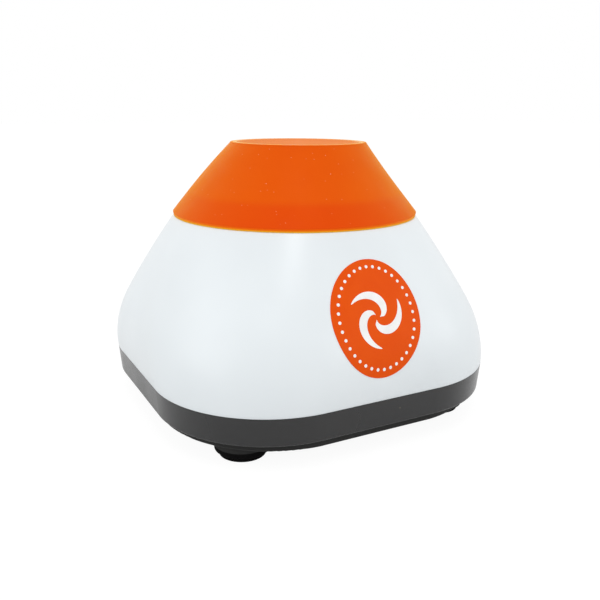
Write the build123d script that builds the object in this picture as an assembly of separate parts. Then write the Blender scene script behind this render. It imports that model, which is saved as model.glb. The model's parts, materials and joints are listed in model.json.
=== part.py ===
from build123d import *
import math
import os

# Touch vortex mixer: press the cup and the whole motor platform sinks on its springs, a switch
# closes, and an eccentric journal swings the cup round a small circle. The cup does not turn,
# because its silicone skirt is held by the casing.
# Millimetres, +Z up, origin on the table under the middle of the casing, badge towards -Y.

# ---- casing outline ---------------------------------------------------------------------------
seam_z = 15.0              # seam between grey tray and white shell, above the table
seam_half = 50.0           # half width of the casing at the seam
seam_lean = -9.8           # degrees that the wall leans in at the seam (negative bulges out)
shoulder_radius = 32.2     # wall profile, low arc
shoulder_rise = 18.3       # height of that arc over the seam
slope_radius = 175.0       # wall profile, long upper arc
shell_rise = 41.6          # top of the shell over the seam
corner_radius = 32.7       # plan corners at the seam
top_flat = 0.35            # straight half side that is left at the top, where the plan is nearly round
shell_wall = 2.2
roof_wall = 2.4
seam_gap = 0.15            # shadow line between shell and tray
pillar_radius = 3.3        # screw pillars inside the shell
case_screw_at = 24.2       # x and y of the case screws
pilot_depth = 12.0
past = 1.0                 # cutting solids run this far past the faces they open
bite = 0.5                 # forms that are moulded together run this far into each other

# ---- base tray --------------------------------------------------------------------------------
floor_z = 4.7              # underside of the plinth
floor_wall = 2.4
plinth_high = 2.6          # plinth that shows under the side wall
plinth_inset = 1.9
side_taper = 0.67          # side wall draws in by this down to its lower edge
side_edge = 0.6            # round on that edge
lip_wall = 1.2             # tongue that stands inside the shell
lip_high = 1.6
lip_gap = 0.15
screw_boss_wall = 1.4
screw_sink = 4.0           # depth of the counterbores for the case screws

# ---- feet -------------------------------------------------------------------------------------
foot_at = 31.8             # x and y of the feet
foot_radius = 7.4          # disc that covers the boss
foot_disc_z = 1.3          # lower face of the disc
foot_edge = 0.5            # round on that edge
foot_lip_radius = 6.15     # suction lip below the disc
foot_lip_land = 1.0        # ring of it that touches the bench
foot_hollow = 1.6          # height of the suction hollow
foot_boss_radius = 7.5
foot_boss_low = 2.9        # lower face of the boss that the foot plugs into
foot_plug_radius = 5.2
foot_stem_radius = 2.4
foot_barb = 0.9
foot_tip_radius = 1.7      # end of the stem, tapered to pull it through
fit_gap = 0.15             # pushed-in rubber and plastic pieces

# ---- machine screws ---------------------------------------------------------------------------
case_thread = 1.5          # thread radii
case_head_radius = 2.8
case_head_high = 2.0
case_screw_long = 16.0
small_thread = 1.0
small_head_radius = 1.9
small_head_high = 1.2
screw_clear = 0.15
drive_radius = 0.9         # socket in the screw heads
drive_deep = 0.9
tip_gap = 1.0              # pilot hole left past a screw's tip

# ---- floating motor platform ------------------------------------------------------------------
press_travel = 2.0
plate_z = 47.5             # underside of the platform
plate_thick = 2.0
guide_at = 17.5            # x and y of the four guides
guide_lobe = 5.5
guide_shoulder = 2.0       # radius of the shoulder screws
guide_head_radius = 3.4
guide_head_high = 2.0
guide_thread_long = 10.0
bush_radius = 3.6
bush_flange_radius = 5.2
bush_flange = 0.8
slide_gap = 0.05
post_radius = 4.4
sleeve_radius = 2.6
spring_seat_z = 36.7
spring_wire = 0.35         # radius
spring_radius = 3.65
spring_turns = 4
stop_gap = 0.2             # left under the bush when the cup is pressed right down
tab_long = 33.0           # tab that works the switch
tab_wide = 9.0

# ---- motor ------------------------------------------------------------------------------------
motor_radius = 13.85
motor_long = 32.5
can_wall = 1.0
boss_radius = 5.0
boss_high = 1.5
shaft_radius = 1.15
shaft_gap = 0.02
bushing_radius = 2.9
bushing_long = 3.6
magnet_thick = 1.9
magnet_gap = 0.05
magnet_long = 22.0
magnet_drop = 6.0          # top of the magnets under the platform
magnet_arc = 150.0
air_gap = 0.5
armature_long = 18.0
armature_hub = 3.4
poles = 3
pole_wide = 3.4
pole_shoe = 1.6
pole_slot = 2.4
coil_wide = 1.9
coil_round = 1.3
coil_in = 1.2              # coils start this far outside the armature's hub
commutator_radius = 2.8
commutator_long = 5.0
commutator_lift = 0.6
segment_slot = 0.4
segment_thick = 0.5
bell_wall = 1.5
bell_skirt = 4.0
brush_gap = 0.05
brush_wide = 2.4
brush_short = 1.0          # brush ends this far inside its terminal
brush_up = 3.5             # brush reaches this far up the commutator
terminal_at = 8.0
terminal_long = 2.2
terminal_wide = 2.8
terminal_up = 2.5
tag_thick = 0.5
motor_screw_at = 8.0
motor_screw_radius = 1.3
motor_screw_head = 2.3
motor_screw_sink = 1.1
motor_screw_under = 3.0    # thread below the platform's underside

# ---- eccentric and bearing --------------------------------------------------------------------
crank = 2.0                # offset of the journal from the motor shaft, so the orbit is 4 mm
hub_lift = 0.8             # gap between platform and hub
hub_radius = 8.5
hub_high = 5.1
weight_radius = 15.5
weight_arc = 150.0
weight_high = 4.6
set_screw_radius = 1.25
set_screw_sunk = 1.0
set_screw_socket = 0.7
journal_radius = 2.5
collar_radius = 3.4
collar_high = 2.3
race_gap = 0.01
bearing_radius = 8.0
bearing_high = 5.0
ball_radius = 1.19
ball_count = 7
ball_gap = 0.03
race_land = 0.8            # how far the ring lands stand from the ball circle
cage_wall = 0.5
cage_high = 2.9
clip_radius = 4.3
clip_thick = 0.6
clip_groove = 0.4
clip_lift = 0.25           # clip over the bearing
clip_open = 3.0
journal_end = 0.35

# ---- cup carrier and silicone cap -------------------------------------------------------------
carrier_hub_radius = 10.8
snap_ring_thick = 0.65
snap_ring_wide = 1.4
snap_ring_open = 4.0
snap_groove = 0.6
carrier_under = 0.9        # carrier below the snap ring
relief_radius = 6.4
relief_high = 2.3
carrier_flange_radius = 21.0
carrier_flange = 3.0
carrier_ring_radius = 17.5
carrier_ring_wall = 2.0
carrier_ring_high = 5.0
carrier_ribs = 6
rib_thick = 1.2
rib_short = 1.0            # ribs end this far inside the flange's rim
rib_lift = 2.0             # and start this far over the hub's lower end
cap_gap = 0.15             # silicone round the carrier
hem_radius = 35.96
hem_lift = 0.05            # hem over its seat
rim_radius = 19.3
still_high = 6.35          # foot of the skirt that stays round the casing's axis; it leans above that
rim_round = 0.6
rim_land = 1.8
skirt_swell = 0.25         # middle of the skirt's sides outside a straight cone
skirt_wall = 2.3           # measured level
dish_floor = 2.6           # silicone under the dish
dish_deep = 6.95           # floor of the dish under the rim
dish_flat_radius = 5.0
dish_belly = 2.0           # how far the dish wall sags below a straight cone
grip_wall = 2.1
grip_hook = 1.4
grip_hook_high = 1.0
lip_high_cap = 1.0         # hem lip under the collar bead
snap_gap = 0.3
bead_high = 1.0
bead_wide = 1.0
collar_wall = 1.7

# ---- electrics --------------------------------------------------------------------------------
board_wide = 37.0
board_in = 5.5             # rear edge of the board, in from the casing's side
board_clear = 3.1          # front edge of the board to the platform's posts
board_z = 13.4
board_thick = 1.6
board_post_radius = 3.0
board_post_in = 3.6        # posts in from the board's edges
board_screw_long = 6.0
jack_wide = 9.0
jack_long = 14.2
jack_high = 11.0
jack_in = 4.1              # mouth of the inlet, in from the casing's side
jack_bore = 3.15
jack_bore_deep = 10.5
jack_pin_radius = 1.0
jack_pin_short = 1.0       # pin ends this far inside the mouth
jack_root_radius = 1.5     # root of the pin, pressed into the housing
jack_root_long = 2.0
jack_window = 4.75         # hole in the shell for the plug
jack_flare = 1.0
capacitor_radius = 4.0
capacitor_high = 11.5
capacitor_edge = 0.4
capacitor_x = -11.0
header_size = (7.4, 5.8, 6.0)
header_x = 9.0
header_pitch = 7.0         # between the two headers
wire_radius = 0.6
wire_pitch = 2.5
wire_bend = 4.0            # radius of the leads' wide bends
wire_turn = 3.0            # radius of their tight bends
lead_up = 9.0              # straight up out of a header
lead_step = 1.5            # one lead over the next
header_hole_deep = 3.0

# ---- micro switch -----------------------------------------------------------------------------
switch_thick = 6.4
switch_long = 19.8
switch_high = 10.2
switch_face_x = -26.0      # face towards the motor
switch_middle_y = -7.5
switch_below = 4.3         # top of the switch under the platform
switch_hole_pitch = 9.5
switch_hole_up = 2.9
switch_round = 0.8
bracket_below = 1.0        # bracket ends this far under the switch's top
bracket_wall = 2.4
bracket_long = 15.0
bracket_rib = 4.0
lever_pivot_in = 1.9       # pivot in from the switch's front end
lever_pivot_up = 0.5
lever_arm = 17.0           # pivot to tip
lever_lean = 12.0          # degrees at rest
lever_wide = 4.0
lever_thick = 0.3
lever_hinge_radius = 0.45          # radius of the hinge roll
plunger_arm = 6.0          # pivot to plunger
plunger_radius = 1.2
plunger_sunk = 2.0
plunger_gap = 0.05
plunger_round = 0.4
plunger_under = 0.4        # top of the plunger under the lever's middle line
tag_long = 4.0
tag_wide = 3.2
tag_in = 3.0               # end tags in from the switch's ends

# ---- badge ------------------------------------------------------------------------------------
badge_rise = 21.3          # centre over the seam
badge_x = -1.0
badge_half_wide = 12.9
badge_half_long = 15.1
badge_thick = 0.15

# ---- places that follow from the sizes above --------------------------------------------------
corners = [(sx, sy) for sx in (-1, 1) for sy in (-1, 1)]
side_low_z = floor_z + plinth_high
floor_top = floor_z + floor_wall
seat_z = seam_z + shell_rise
plate_top = plate_z + plate_thick
motor_low = plate_z - motor_long
hub_z = plate_top + hub_lift
hub_top = hub_z + hub_high
bearing_z = hub_top + collar_high
bearing_top = bearing_z + bearing_high
clip_z = bearing_top + clip_lift
journal_top = clip_z + clip_thick + journal_end
flange_z = bearing_top + relief_high - clip_groove
flange_top = flange_z + carrier_flange
dish_z = flange_top + dish_floor
rim_z = dish_z + dish_deep
hem_z = seat_z + hem_lift
still_z = hem_z + still_high
carrier_low = bearing_z - snap_ring_thick - carrier_under
crank_at = (0, -crank, 0)
lip_half = seam_half - shell_wall - lip_gap
board_top = board_z + board_thick
jack_z = board_top + jack_high - jack_wide / 2
ball_circle = (journal_radius + bearing_radius) / 2
bell_low = motor_low - bell_wall
bush_low = plate_z - bush_flange
switch_top_z = plate_z - switch_below
sleeve_top = bush_low - press_travel - stop_gap
head_z = plate_top + slide_gap
magnet_radius = motor_radius - can_wall - magnet_gap
armature_radius = magnet_radius - magnet_thick - air_gap
magnet_z = plate_z - magnet_drop - magnet_long
armature_z = magnet_z + (magnet_long - armature_long) / 2
commutator_z = motor_low + commutator_lift
pole_turn = 360 / poles
board_back = seam_half - board_in
board_front = guide_at + post_radius + board_clear
board_middle = (board_back + board_front) / 2
jack_front = seam_half - jack_in
header_rows = (board_middle - header_pitch / 2, board_middle + header_pitch / 2)
UPRIGHT = (Align.CENTER, Align.CENTER, Align.MIN)


def ring(outer, inner, low, high, at=(0, 0)):
    """Upright tube wall from low to high."""
    tube = Pos(at[0], at[1], low) * Cylinder(outer, high - low, align=UPRIGHT)
    return tube - Pos(at[0], at[1], low) * Cylinder(inner, high - low, align=UPRIGHT)


def rod(radius, low, high, at=(0, 0)):
    return Pos(at[0], at[1], low) * Cylinder(radius, high - low, align=UPRIGHT)


def turned(points):
    """Solid of revolution about Z from (radius, height) corners."""
    return revolve(make_face(Polyline(*[(r, 0, z) for r, z in points], close=True)), Axis.Z)


def lean_at(rise):
    """Radians that the casing's wall leans in from upright at a height over the seam."""
    low = math.sin(math.radians(seam_lean)) + min(rise, shoulder_rise) / shoulder_radius
    return math.asin(low + max(rise - shoulder_rise, 0) / slope_radius)


def half_at(rise):
    """Half width of the casing at a height over the seam: two arcs tangent to each other."""
    low, knee, here = [math.cos(lean_at(level)) for level in (0, min(rise, shoulder_rise), rise)]
    return seam_half + shoulder_radius * (knee - low) + slope_radius * (here - knee)


def corner_at(rise):
    """Radius of the plan's corners: their share of the half width grows evenly up to the top."""
    low, top = corner_radius / seam_half, 1 - top_flat / half_at(shell_rise)
    return half_at(rise) * (low + (top - low) * rise / shell_rise)


def plan(rise, inset=0.0):
    """Rounded square that the casing shows in plan at a height over the seam."""
    side = 2 * (half_at(rise) - inset)
    return Pos(0, 0, seam_z + rise) * RectangleRounded(side, side, corner_at(rise) - inset)


def casing(low, high, inset=0.0, steps=8):
    """Smooth solid inside the casing outline between two heights over the seam."""
    return loft([plan(low + (high - low) * n / steps, inset) for n in range(steps + 1)])


def rounded_block(half, corner, low, high):
    return Pos(0, 0, low) * extrude(RectangleRounded(2 * half, 2 * half, corner), high - low)


def centre_at(z):
    """Centre of the cap's skirt at height z: it bends over from the casing's axis to the crank."""
    return -crank * (max(z - still_z, 0) / (rim_z - still_z)) ** 2


def skirt_at(z, wall=0.0):
    """Level circle of the skirt's outside, or of its inside when a wall is given."""
    share = (z - hem_z) / (rim_z - hem_z)
    radius = hem_radius + (rim_radius - hem_radius) * share
    radius += 4 * skirt_swell * share * (1 - share) - wall
    return Pos(0, centre_at(z), z) * Circle(radius)


def skirt_solid(low, high, wall=0.0, steps=4):
    """Still foot of the skirt and its bending part, one smooth solid each, joined at one circle."""
    return Part() + [
        loft([skirt_at(a + (b - a) * n / steps, wall) for n in range(steps + 1)])
        for a, b in ((low, still_z), (still_z, high))]


def pan_screw(radius, long, head_radius, head_high):
    """Screw with its thread up +Z from the head's seat at the origin and the head below."""
    body = rod(radius, 0, long) + rod(head_radius, -head_high, 0)
    return body - rod(drive_radius, -head_high, drive_deep - head_high)


bead_bottom = hem_z + lip_high_cap + snap_gap
bead_top = bead_bottom + bead_high
skirt_slope = (hem_radius - rim_radius) / (rim_z - hem_z)
bead_radius = hem_radius - skirt_slope * (bead_top - hem_z) - skirt_wall - snap_gap
neck_radius = bead_radius - bead_wide
mouth_radius = neck_radius - collar_wall


# ---- casing -----------------------------------------------------------------------------------
def upper_shell():
    outside = casing(seam_gap, shell_rise)
    inside = casing(-past, shell_rise - roof_wall, shell_wall)
    for sx, sy in corners:
        inside -= rod(pillar_radius, seam_z + seam_gap, seat_z, (sx * case_screw_at, sy * case_screw_at))
    shell = outside - inside
    shell -= rod(mouth_radius, seat_z - 2 * roof_wall, seat_z + past)
    shell += turned([
        (mouth_radius, seat_z - roof_wall), (neck_radius, seat_z - roof_wall),
        (neck_radius, bead_bottom), (bead_radius, bead_bottom), (bead_radius, bead_bottom + bead_high / 2),
        (neck_radius, bead_top + bead_high / 2), (mouth_radius, bead_top + bead_high / 2),
    ])
    for sx, sy in corners:
        pilot = (sx * case_screw_at, sy * case_screw_at)
        shell -= rod(case_thread, seam_z, seam_z + seam_gap + pilot_depth, pilot)
    way = Pos(0, seam_half, jack_z) * Rot(90, 0, 0)
    shell -= way * Cylinder(jack_window, 8 * shell_wall)
    flare = Cone(jack_window + 2 * jack_flare, jack_window, 2 * jack_flare)
    shell -= Pos(0, half_at(jack_z - seam_z), jack_z) * Rot(90, 0, 0) * flare
    return shell


def base_tray():
    low_half = seam_half - side_taper
    low_corner = corner_radius - side_taper
    side = loft([
        Pos(0, 0, side_low_z) * RectangleRounded(2 * low_half, 2 * low_half, low_corner),
        Pos(0, 0, seam_z) * RectangleRounded(2 * seam_half, 2 * seam_half, corner_radius),
    ])
    side = fillet(side.faces().sort_by(Axis.Z)[0].edges(), side_edge)
    plinth = rounded_block(low_half - plinth_inset, low_corner - plinth_inset, floor_z, floor_top)
    plinth = fillet(plinth.faces().sort_by(Axis.Z)[0].edges(), side_edge)
    lip_corner = corner_radius - shell_wall - lip_gap
    tray = side + plinth + rounded_block(lip_half, lip_corner, floor_top, seam_z + lip_high)
    tray -= rounded_block(lip_half - lip_wall, lip_corner - lip_wall, floor_top, seam_z + 2 * lip_high)
    for sx, sy in corners:
        foot = (sx * foot_at, sy * foot_at)
        tray += rod(foot_boss_radius, foot_boss_low, floor_top, foot)
        tray -= rod(foot_plug_radius + fit_gap, 0, floor_z, foot)
        tray -= rod(foot_stem_radius + fit_gap, 0, seam_z, foot)
        screw = (sx * case_screw_at, sy * case_screw_at)
        sink_radius = case_head_radius + 2 * screw_clear
        tray += rod(sink_radius + screw_boss_wall, floor_z + side_edge, seam_z + seam_gap, screw)
        tray -= rod(sink_radius, 0, floor_z + screw_sink, screw)
        tray -= rod(case_thread + screw_clear, 0, seat_z, screw)
        guide = (sx * guide_at, sy * guide_at)
        tray += rod(post_radius, floor_top, spring_seat_z, guide)
        tray += rod(sleeve_radius, spring_seat_z, sleeve_top, guide)
        tray -= rod(case_thread, sleeve_top - guide_thread_long - tip_gap, sleeve_top, guide)
    for x, y in board_post_places():
        tray += rod(board_post_radius, floor_top, board_z, (x, y))
        tray -= rod(small_thread, board_top - board_screw_long - tip_gap, board_z, (x, y))
    return tray + switch_bracket()


def board_post_places():
    x = board_wide / 2 - board_post_in
    return [(-x, board_back - board_post_in), (x, board_front + board_post_in)]


def switch_bracket():
    """Upright wall on the tray's floor that the micro switch is screwed to, with a rib behind."""
    face = switch_face_x - switch_thick
    top = switch_top_z - bracket_below
    wall = Pos(face - bracket_wall, switch_middle_y, floor_top) * Box(
        bracket_wall, bracket_long, top - floor_top, align=(Align.MIN, Align.CENTER, Align.MIN))
    rib = make_face(Polyline(
        (face - bracket_wall, 0, floor_top), (face - bracket_wall - bracket_rib, 0, floor_top),
        (face - bracket_wall, 0, top - bracket_rib), close=True))
    wall += Pos(0, switch_middle_y + bracket_wall / 2, 0) * extrude(rib, bracket_wall, dir=(0, -1, 0))
    for y in switch_hole_places():
        wall -= Pos(face, y, switch_low() + switch_hole_up) * Rot(0, 90, 0) * Cylinder(small_thread, 4 * bracket_wall)
    return wall


def switch_low():
    return switch_top_z - switch_high


def switch_hole_places():
    return [switch_middle_y + side * switch_hole_pitch / 2 for side in (-1, 1)]


def suction_foot(at):
    """Rubber foot: disc with a suction lip, plug in the boss, stem and barb through the tray's floor."""
    disc = rod(foot_radius, foot_disc_z, foot_boss_low)
    disc = fillet(disc.edges().group_by(Axis.Z)[0], foot_edge)
    barb = foot_stem_radius + foot_barb
    low = floor_top + fit_gap
    foot = disc + turned([
        (0, 0), (foot_lip_radius, 0), (foot_lip_radius, foot_disc_z), (foot_plug_radius, foot_disc_z),
        (foot_plug_radius, floor_z - fit_gap), (foot_stem_radius, floor_z - fit_gap), (foot_stem_radius, low),
        (barb, low), (foot_tip_radius, low + 2 * foot_barb), (0, low + 2 * foot_barb),
    ])
    hollow_radius = foot_lip_radius - foot_lip_land
    foot -= turned([(0, 0), (hollow_radius, 0), (foot_stem_radius, foot_hollow), (0, foot_hollow)])
    return Pos(at[0], at[1], 0) * foot


def case_screws():
    screw = pan_screw(case_thread, case_screw_long, case_head_radius, case_head_high)
    seat = floor_z + screw_sink
    return [Pos(sx * case_screw_at, sy * case_screw_at, seat) * screw for sx, sy in corners]


def front_badge():
    """Thin oval label that follows the front wall."""
    lean = lean_at(badge_rise)
    face = Plane(origin=(badge_x, -half_at(badge_rise), seam_z + badge_rise), x_dir=(1, 0, 0),
                 z_dir=(0, -math.cos(lean), math.sin(lean)))
    oval = extrude(face * Ellipse(badge_half_wide, badge_half_long), badge_half_long / 2, both=True)
    return (casing(seam_gap, shell_rise, -badge_thick) & oval) - casing(seam_gap, shell_rise)


# ---- platform and motor -----------------------------------------------------------------------
def motor_plate():
    half = guide_at + guide_lobe
    plate = rounded_block(half, guide_lobe, plate_z, plate_top)
    plate += Pos(0, 0, plate_z) * Box(tab_long, tab_wide, plate_thick, align=(Align.MAX, Align.CENTER, Align.MIN))
    plate -= rod(boss_radius + screw_clear, plate_z, plate_top)
    for sx, sy in corners:
        plate -= rod(bush_radius, plate_z, plate_top, (sx * guide_at, sy * guide_at))
    for side in (-1, 1):
        at = (side * motor_screw_at, 0)
        plate -= rod(motor_screw_radius + screw_clear, plate_z, plate_top, at)
        plate -= Pos(side * motor_screw_at, 0, 0) * motor_screw_cone()
    return plate


def motor_screw_cone():
    """Countersunk head of a motor screw, flush with the platform."""
    cone = Cone(motor_screw_radius, motor_screw_head, motor_screw_sink, align=UPRIGHT)
    return Pos(0, 0, plate_top - motor_screw_sink) * cone


def guide_bushes():
    bush = turned([
        (guide_shoulder + slide_gap, bush_low), (bush_flange_radius, bush_low), (bush_flange_radius, plate_z),
        (bush_radius, plate_z), (bush_radius, plate_top), (guide_shoulder + slide_gap, plate_top),
    ])
    return [Pos(sx * guide_at, sy * guide_at, 0) * bush for sx, sy in corners]


def guide_screws():
    screw = rod(guide_head_radius, head_z, head_z + guide_head_high)
    screw += rod(guide_shoulder, sleeve_top, head_z)
    screw += rod(case_thread, sleeve_top - guide_thread_long, sleeve_top)
    screw -= rod(drive_radius, head_z + guide_head_high - drive_deep, head_z + guide_head_high)
    return [Pos(sx * guide_at, sy * guide_at, 0) * screw for sx, sy in corners]


def return_springs():
    """Four compression springs between the posts and the bush flanges."""
    high = bush_low - spring_seat_z - 2 * spring_wire
    coil = Helix(high / spring_turns, high, spring_radius, center=(0, 0, spring_seat_z + spring_wire))
    wire = sweep(Plane(origin=coil @ 0, z_dir=coil % 0) * RegularPolygon(spring_wire, 6), coil)
    return [Pos(sx * guide_at, sy * guide_at, 0) * wire for sx, sy in corners]


def motor_can():
    inner = motor_radius - can_wall
    top = plate_z + boss_high
    can = turned([
        (inner, motor_low), (motor_radius, motor_low), (motor_radius, plate_z), (boss_radius, plate_z),
        (boss_radius, top), (bushing_radius, top), (bushing_radius, plate_z - can_wall),
        (inner, plate_z - can_wall),
    ])
    for side in (-1, 1):
        can -= rod(motor_screw_radius, plate_z - can_wall, plate_z, (side * motor_screw_at, 0))
    return can


def motor_magnets():
    block = ring(magnet_radius, magnet_radius - magnet_thick, magnet_z, magnet_z + magnet_long)
    one = block & sector(magnet_arc / 2, magnet_z, magnet_long)
    return [one, Rot(0, 0, 180) * one]


def sector(half_angle, low, high, reach=40.0):
    """Wedge about +X with the given half angle, to cut arcs from rings."""
    turn = [math.radians(half_angle * n / 4) for n in range(-4, 5)]
    edge = [(reach * math.cos(a), reach * math.sin(a)) for a in turn]
    return Pos(0, 0, low) * extrude(make_face(Polyline((0, 0), *edge, close=True)), high)


def motor_end_bell():
    inner = motor_radius - can_wall - magnet_gap
    bell = turned([
        (bushing_radius, bell_low - boss_high), (boss_radius, bell_low - boss_high), (boss_radius, bell_low),
        (motor_radius, bell_low), (motor_radius, motor_low), (inner, motor_low),
        (inner, motor_low + bell_skirt), (inner - bell_wall, motor_low + bell_skirt),
        (inner - bell_wall, motor_low), (bushing_radius, motor_low),
    ])
    for side in (-1, 1):
        bell -= Pos(side * terminal_at, 0, motor_low) * Box(tag_thick, terminal_wide, 4 * bell_wall)
    return bell


def motor_bushings():
    top = plate_z + boss_high
    low = bell_low - boss_high
    return [
        ring(bushing_radius, shaft_radius + shaft_gap, top - bushing_long, top),
        ring(bushing_radius, shaft_radius + shaft_gap, low, motor_low),
    ]


def motor_brushes():
    """Carbon blocks that rub on the commutator, on the end bell's floor."""
    inner = commutator_radius + brush_gap
    high = commutator_z + brush_up
    block = Pos(inner, 0, motor_low) * Box(
        terminal_at - inner - brush_short, brush_wide, high - motor_low,
        align=(Align.MIN, Align.CENTER, Align.MIN))
    block -= rod(inner, motor_low, high)
    return [block, Rot(0, 0, 180) * block]


def motor_terminals():
    """Brass tags from the brushes down through the end bell."""
    high = commutator_z + terminal_up
    tag = Pos(terminal_at, 0, bell_low - terminal_long) * Box(
        tag_thick, terminal_wide, high - bell_low + terminal_long, align=UPRIGHT)
    tag -= Pos(terminal_at, 0, bell_low - terminal_long / 2) * Rot(0, 90, 0) * Cylinder(wire_radius, 4 * tag_thick)
    return [tag, Rot(0, 0, 180) * tag]


def motor_screws():
    screw = rod(motor_screw_radius, plate_z - motor_screw_under, plate_top - motor_screw_sink)
    screw += motor_screw_cone()
    screw -= rod(drive_radius, plate_top - drive_deep, plate_top)
    return [Pos(side * motor_screw_at, 0, 0) * screw for side in (-1, 1)]


# ---- rotor ------------------------------------------------------------------------------------
def motor_shaft():
    return rod(shaft_radius, bell_low - boss_high, hub_top)


def pole_piece():
    """One T-shaped pole of the armature in plan, along +X."""
    neck = Pos(armature_hub / 2, 0) * Rectangle(
        armature_radius - armature_hub / 2, pole_wide, align=(Align.MIN, Align.CENTER))
    shoe = Circle(armature_radius) - Circle(armature_radius - pole_shoe)
    far = 2 * armature_radius
    for side in (-1, 1):
        shoe -= Rot(0, 0, side * pole_turn / 2) * Rectangle(far, pole_slot, align=(Align.MIN, Align.CENTER))
    turns = [math.radians(pole_turn / 4 * n) for n in range(-2, 3)]
    shoe &= make_face(Polyline((0, 0), *[(far * math.cos(a), far * math.sin(a)) for a in turns], close=True))
    return (neck & Circle(armature_radius)) + shoe


def armature_core():
    profile = Circle(armature_hub)
    for n in range(poles):
        profile += Rot(0, 0, pole_turn * n) * pole_piece()
    core = Pos(0, 0, armature_z) * extrude(profile, armature_long)
    return core - rod(shaft_radius, armature_z, armature_z + armature_long)


def armature_windings():
    """Copper coils on the poles' necks, open in the middle for the neck."""
    reach_in = armature_hub + coil_in
    half = pole_wide / 2 + coil_wide
    reach_out = math.sqrt((armature_radius - pole_shoe) ** 2 - half**2) - slide_gap
    outer = Box(reach_out - reach_in, 2 * half, armature_long + 2 * coil_wide,
                align=(Align.MIN, Align.CENTER, Align.CENTER))
    outer = fillet(outer.edges().filter_by(Axis.X), coil_round)
    coil = outer - Box(reach_out - reach_in, pole_wide, armature_long, align=(Align.MIN, Align.CENTER, Align.CENTER))
    middle = armature_z + armature_long / 2
    return [Rot(0, 0, pole_turn * n) * Pos(reach_in, 0, middle) * coil for n in range(poles)]


def commutator():
    """Plastic sleeve with a copper segment for each pole, cut by slots."""
    drum = ring(commutator_radius, shaft_radius, commutator_z, commutator_z + commutator_long)
    slot = Box(2 * segment_thick, segment_slot, commutator_long, align=UPRIGHT)
    for n in range(poles):
        drum -= Rot(0, 0, pole_turn * (n + 0.5)) * Pos(commutator_radius, 0, commutator_z) * slot
    return drum


def eccentric_hub():
    """Hub on the motor shaft with a journal turned off centre."""
    hub = rod(hub_radius, hub_z, hub_top)
    hub -= rod(shaft_radius, hub_z, hub_top)
    off = (0, -crank)
    hub += rod(collar_radius, hub_top, bearing_z, off)
    hub += rod(journal_radius, bearing_z, journal_top, off)
    hub -= ring(journal_radius + past, journal_radius - clip_groove, clip_z, clip_z + clip_thick, off)
    middle = hub_z + weight_high / 2
    hub -= Pos(0, 0, middle) * Rot(90, 0, 0) * Cylinder(set_screw_radius, 2 * hub_radius, align=UPRIGHT)
    return hub


def hub_set_screw():
    middle = hub_z + weight_high / 2
    long = hub_radius - shaft_radius - set_screw_sunk
    screw = Pos(0, -shaft_radius, middle) * Rot(90, 0, 0) * Cylinder(set_screw_radius, long, align=UPRIGHT)
    socket = Rot(90, 0, 0) * Cylinder(set_screw_socket, 2 * drive_deep)
    return screw - Pos(0, -shaft_radius - long, middle) * socket


def counterweight():
    """Steel sector opposite the journal."""
    arc = ring(weight_radius, hub_radius, hub_z, hub_z + weight_high)
    return arc & (Rot(0, 0, 90) * sector(weight_arc / 2, hub_z, weight_high))


def ball_torus():
    middle = bearing_z + bearing_high / 2
    return Pos(0, -crank, middle) * Torus(ball_circle, ball_radius + ball_gap)


def bearing_inner_race():
    off = (0, -crank)
    race = ring(ball_circle - race_land, journal_radius + race_gap, bearing_z, bearing_top, off)
    return race - ball_torus()


def bearing_outer_race():
    off = (0, -crank)
    race = ring(bearing_radius, ball_circle + race_land, bearing_z, bearing_top, off)
    return race - ball_torus()


def ball_places():
    middle = bearing_z + bearing_high / 2
    turns = [2 * math.pi * n / ball_count for n in range(ball_count)]
    return [Pos(ball_circle * math.cos(a), -crank + ball_circle * math.sin(a), middle) for a in turns]


def bearing_balls():
    return [place * Sphere(ball_radius) for place in ball_places()]


def bearing_cage():
    """Crown ring that spaces the balls, with round pockets."""
    middle = bearing_z + bearing_high / 2
    cage = ring(ball_circle + cage_wall, ball_circle - cage_wall,
                middle - cage_high / 2, middle + cage_high / 2, (0, -crank))
    pocket = Rot(0, 90, 0) * Cylinder(ball_radius + 2 * ball_gap, 4 * cage_wall)
    for n in range(ball_count):
        turn = Rot(0, 0, 360 * n / ball_count)
        cage -= Pos(0, -crank, middle) * turn * Pos(ball_circle, 0, 0) * pocket
    return cage


def journal_clip():
    """C-shaped ring in the journal's groove, over the inner race."""
    clip = ring(clip_radius, journal_radius - clip_groove, clip_z, clip_z + clip_thick, (0, -crank))
    return clip - Pos(0, -crank, clip_z) * Box(
        2 * clip_radius, clip_open, clip_thick, align=(Align.MIN, Align.CENTER, Align.MIN))


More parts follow.
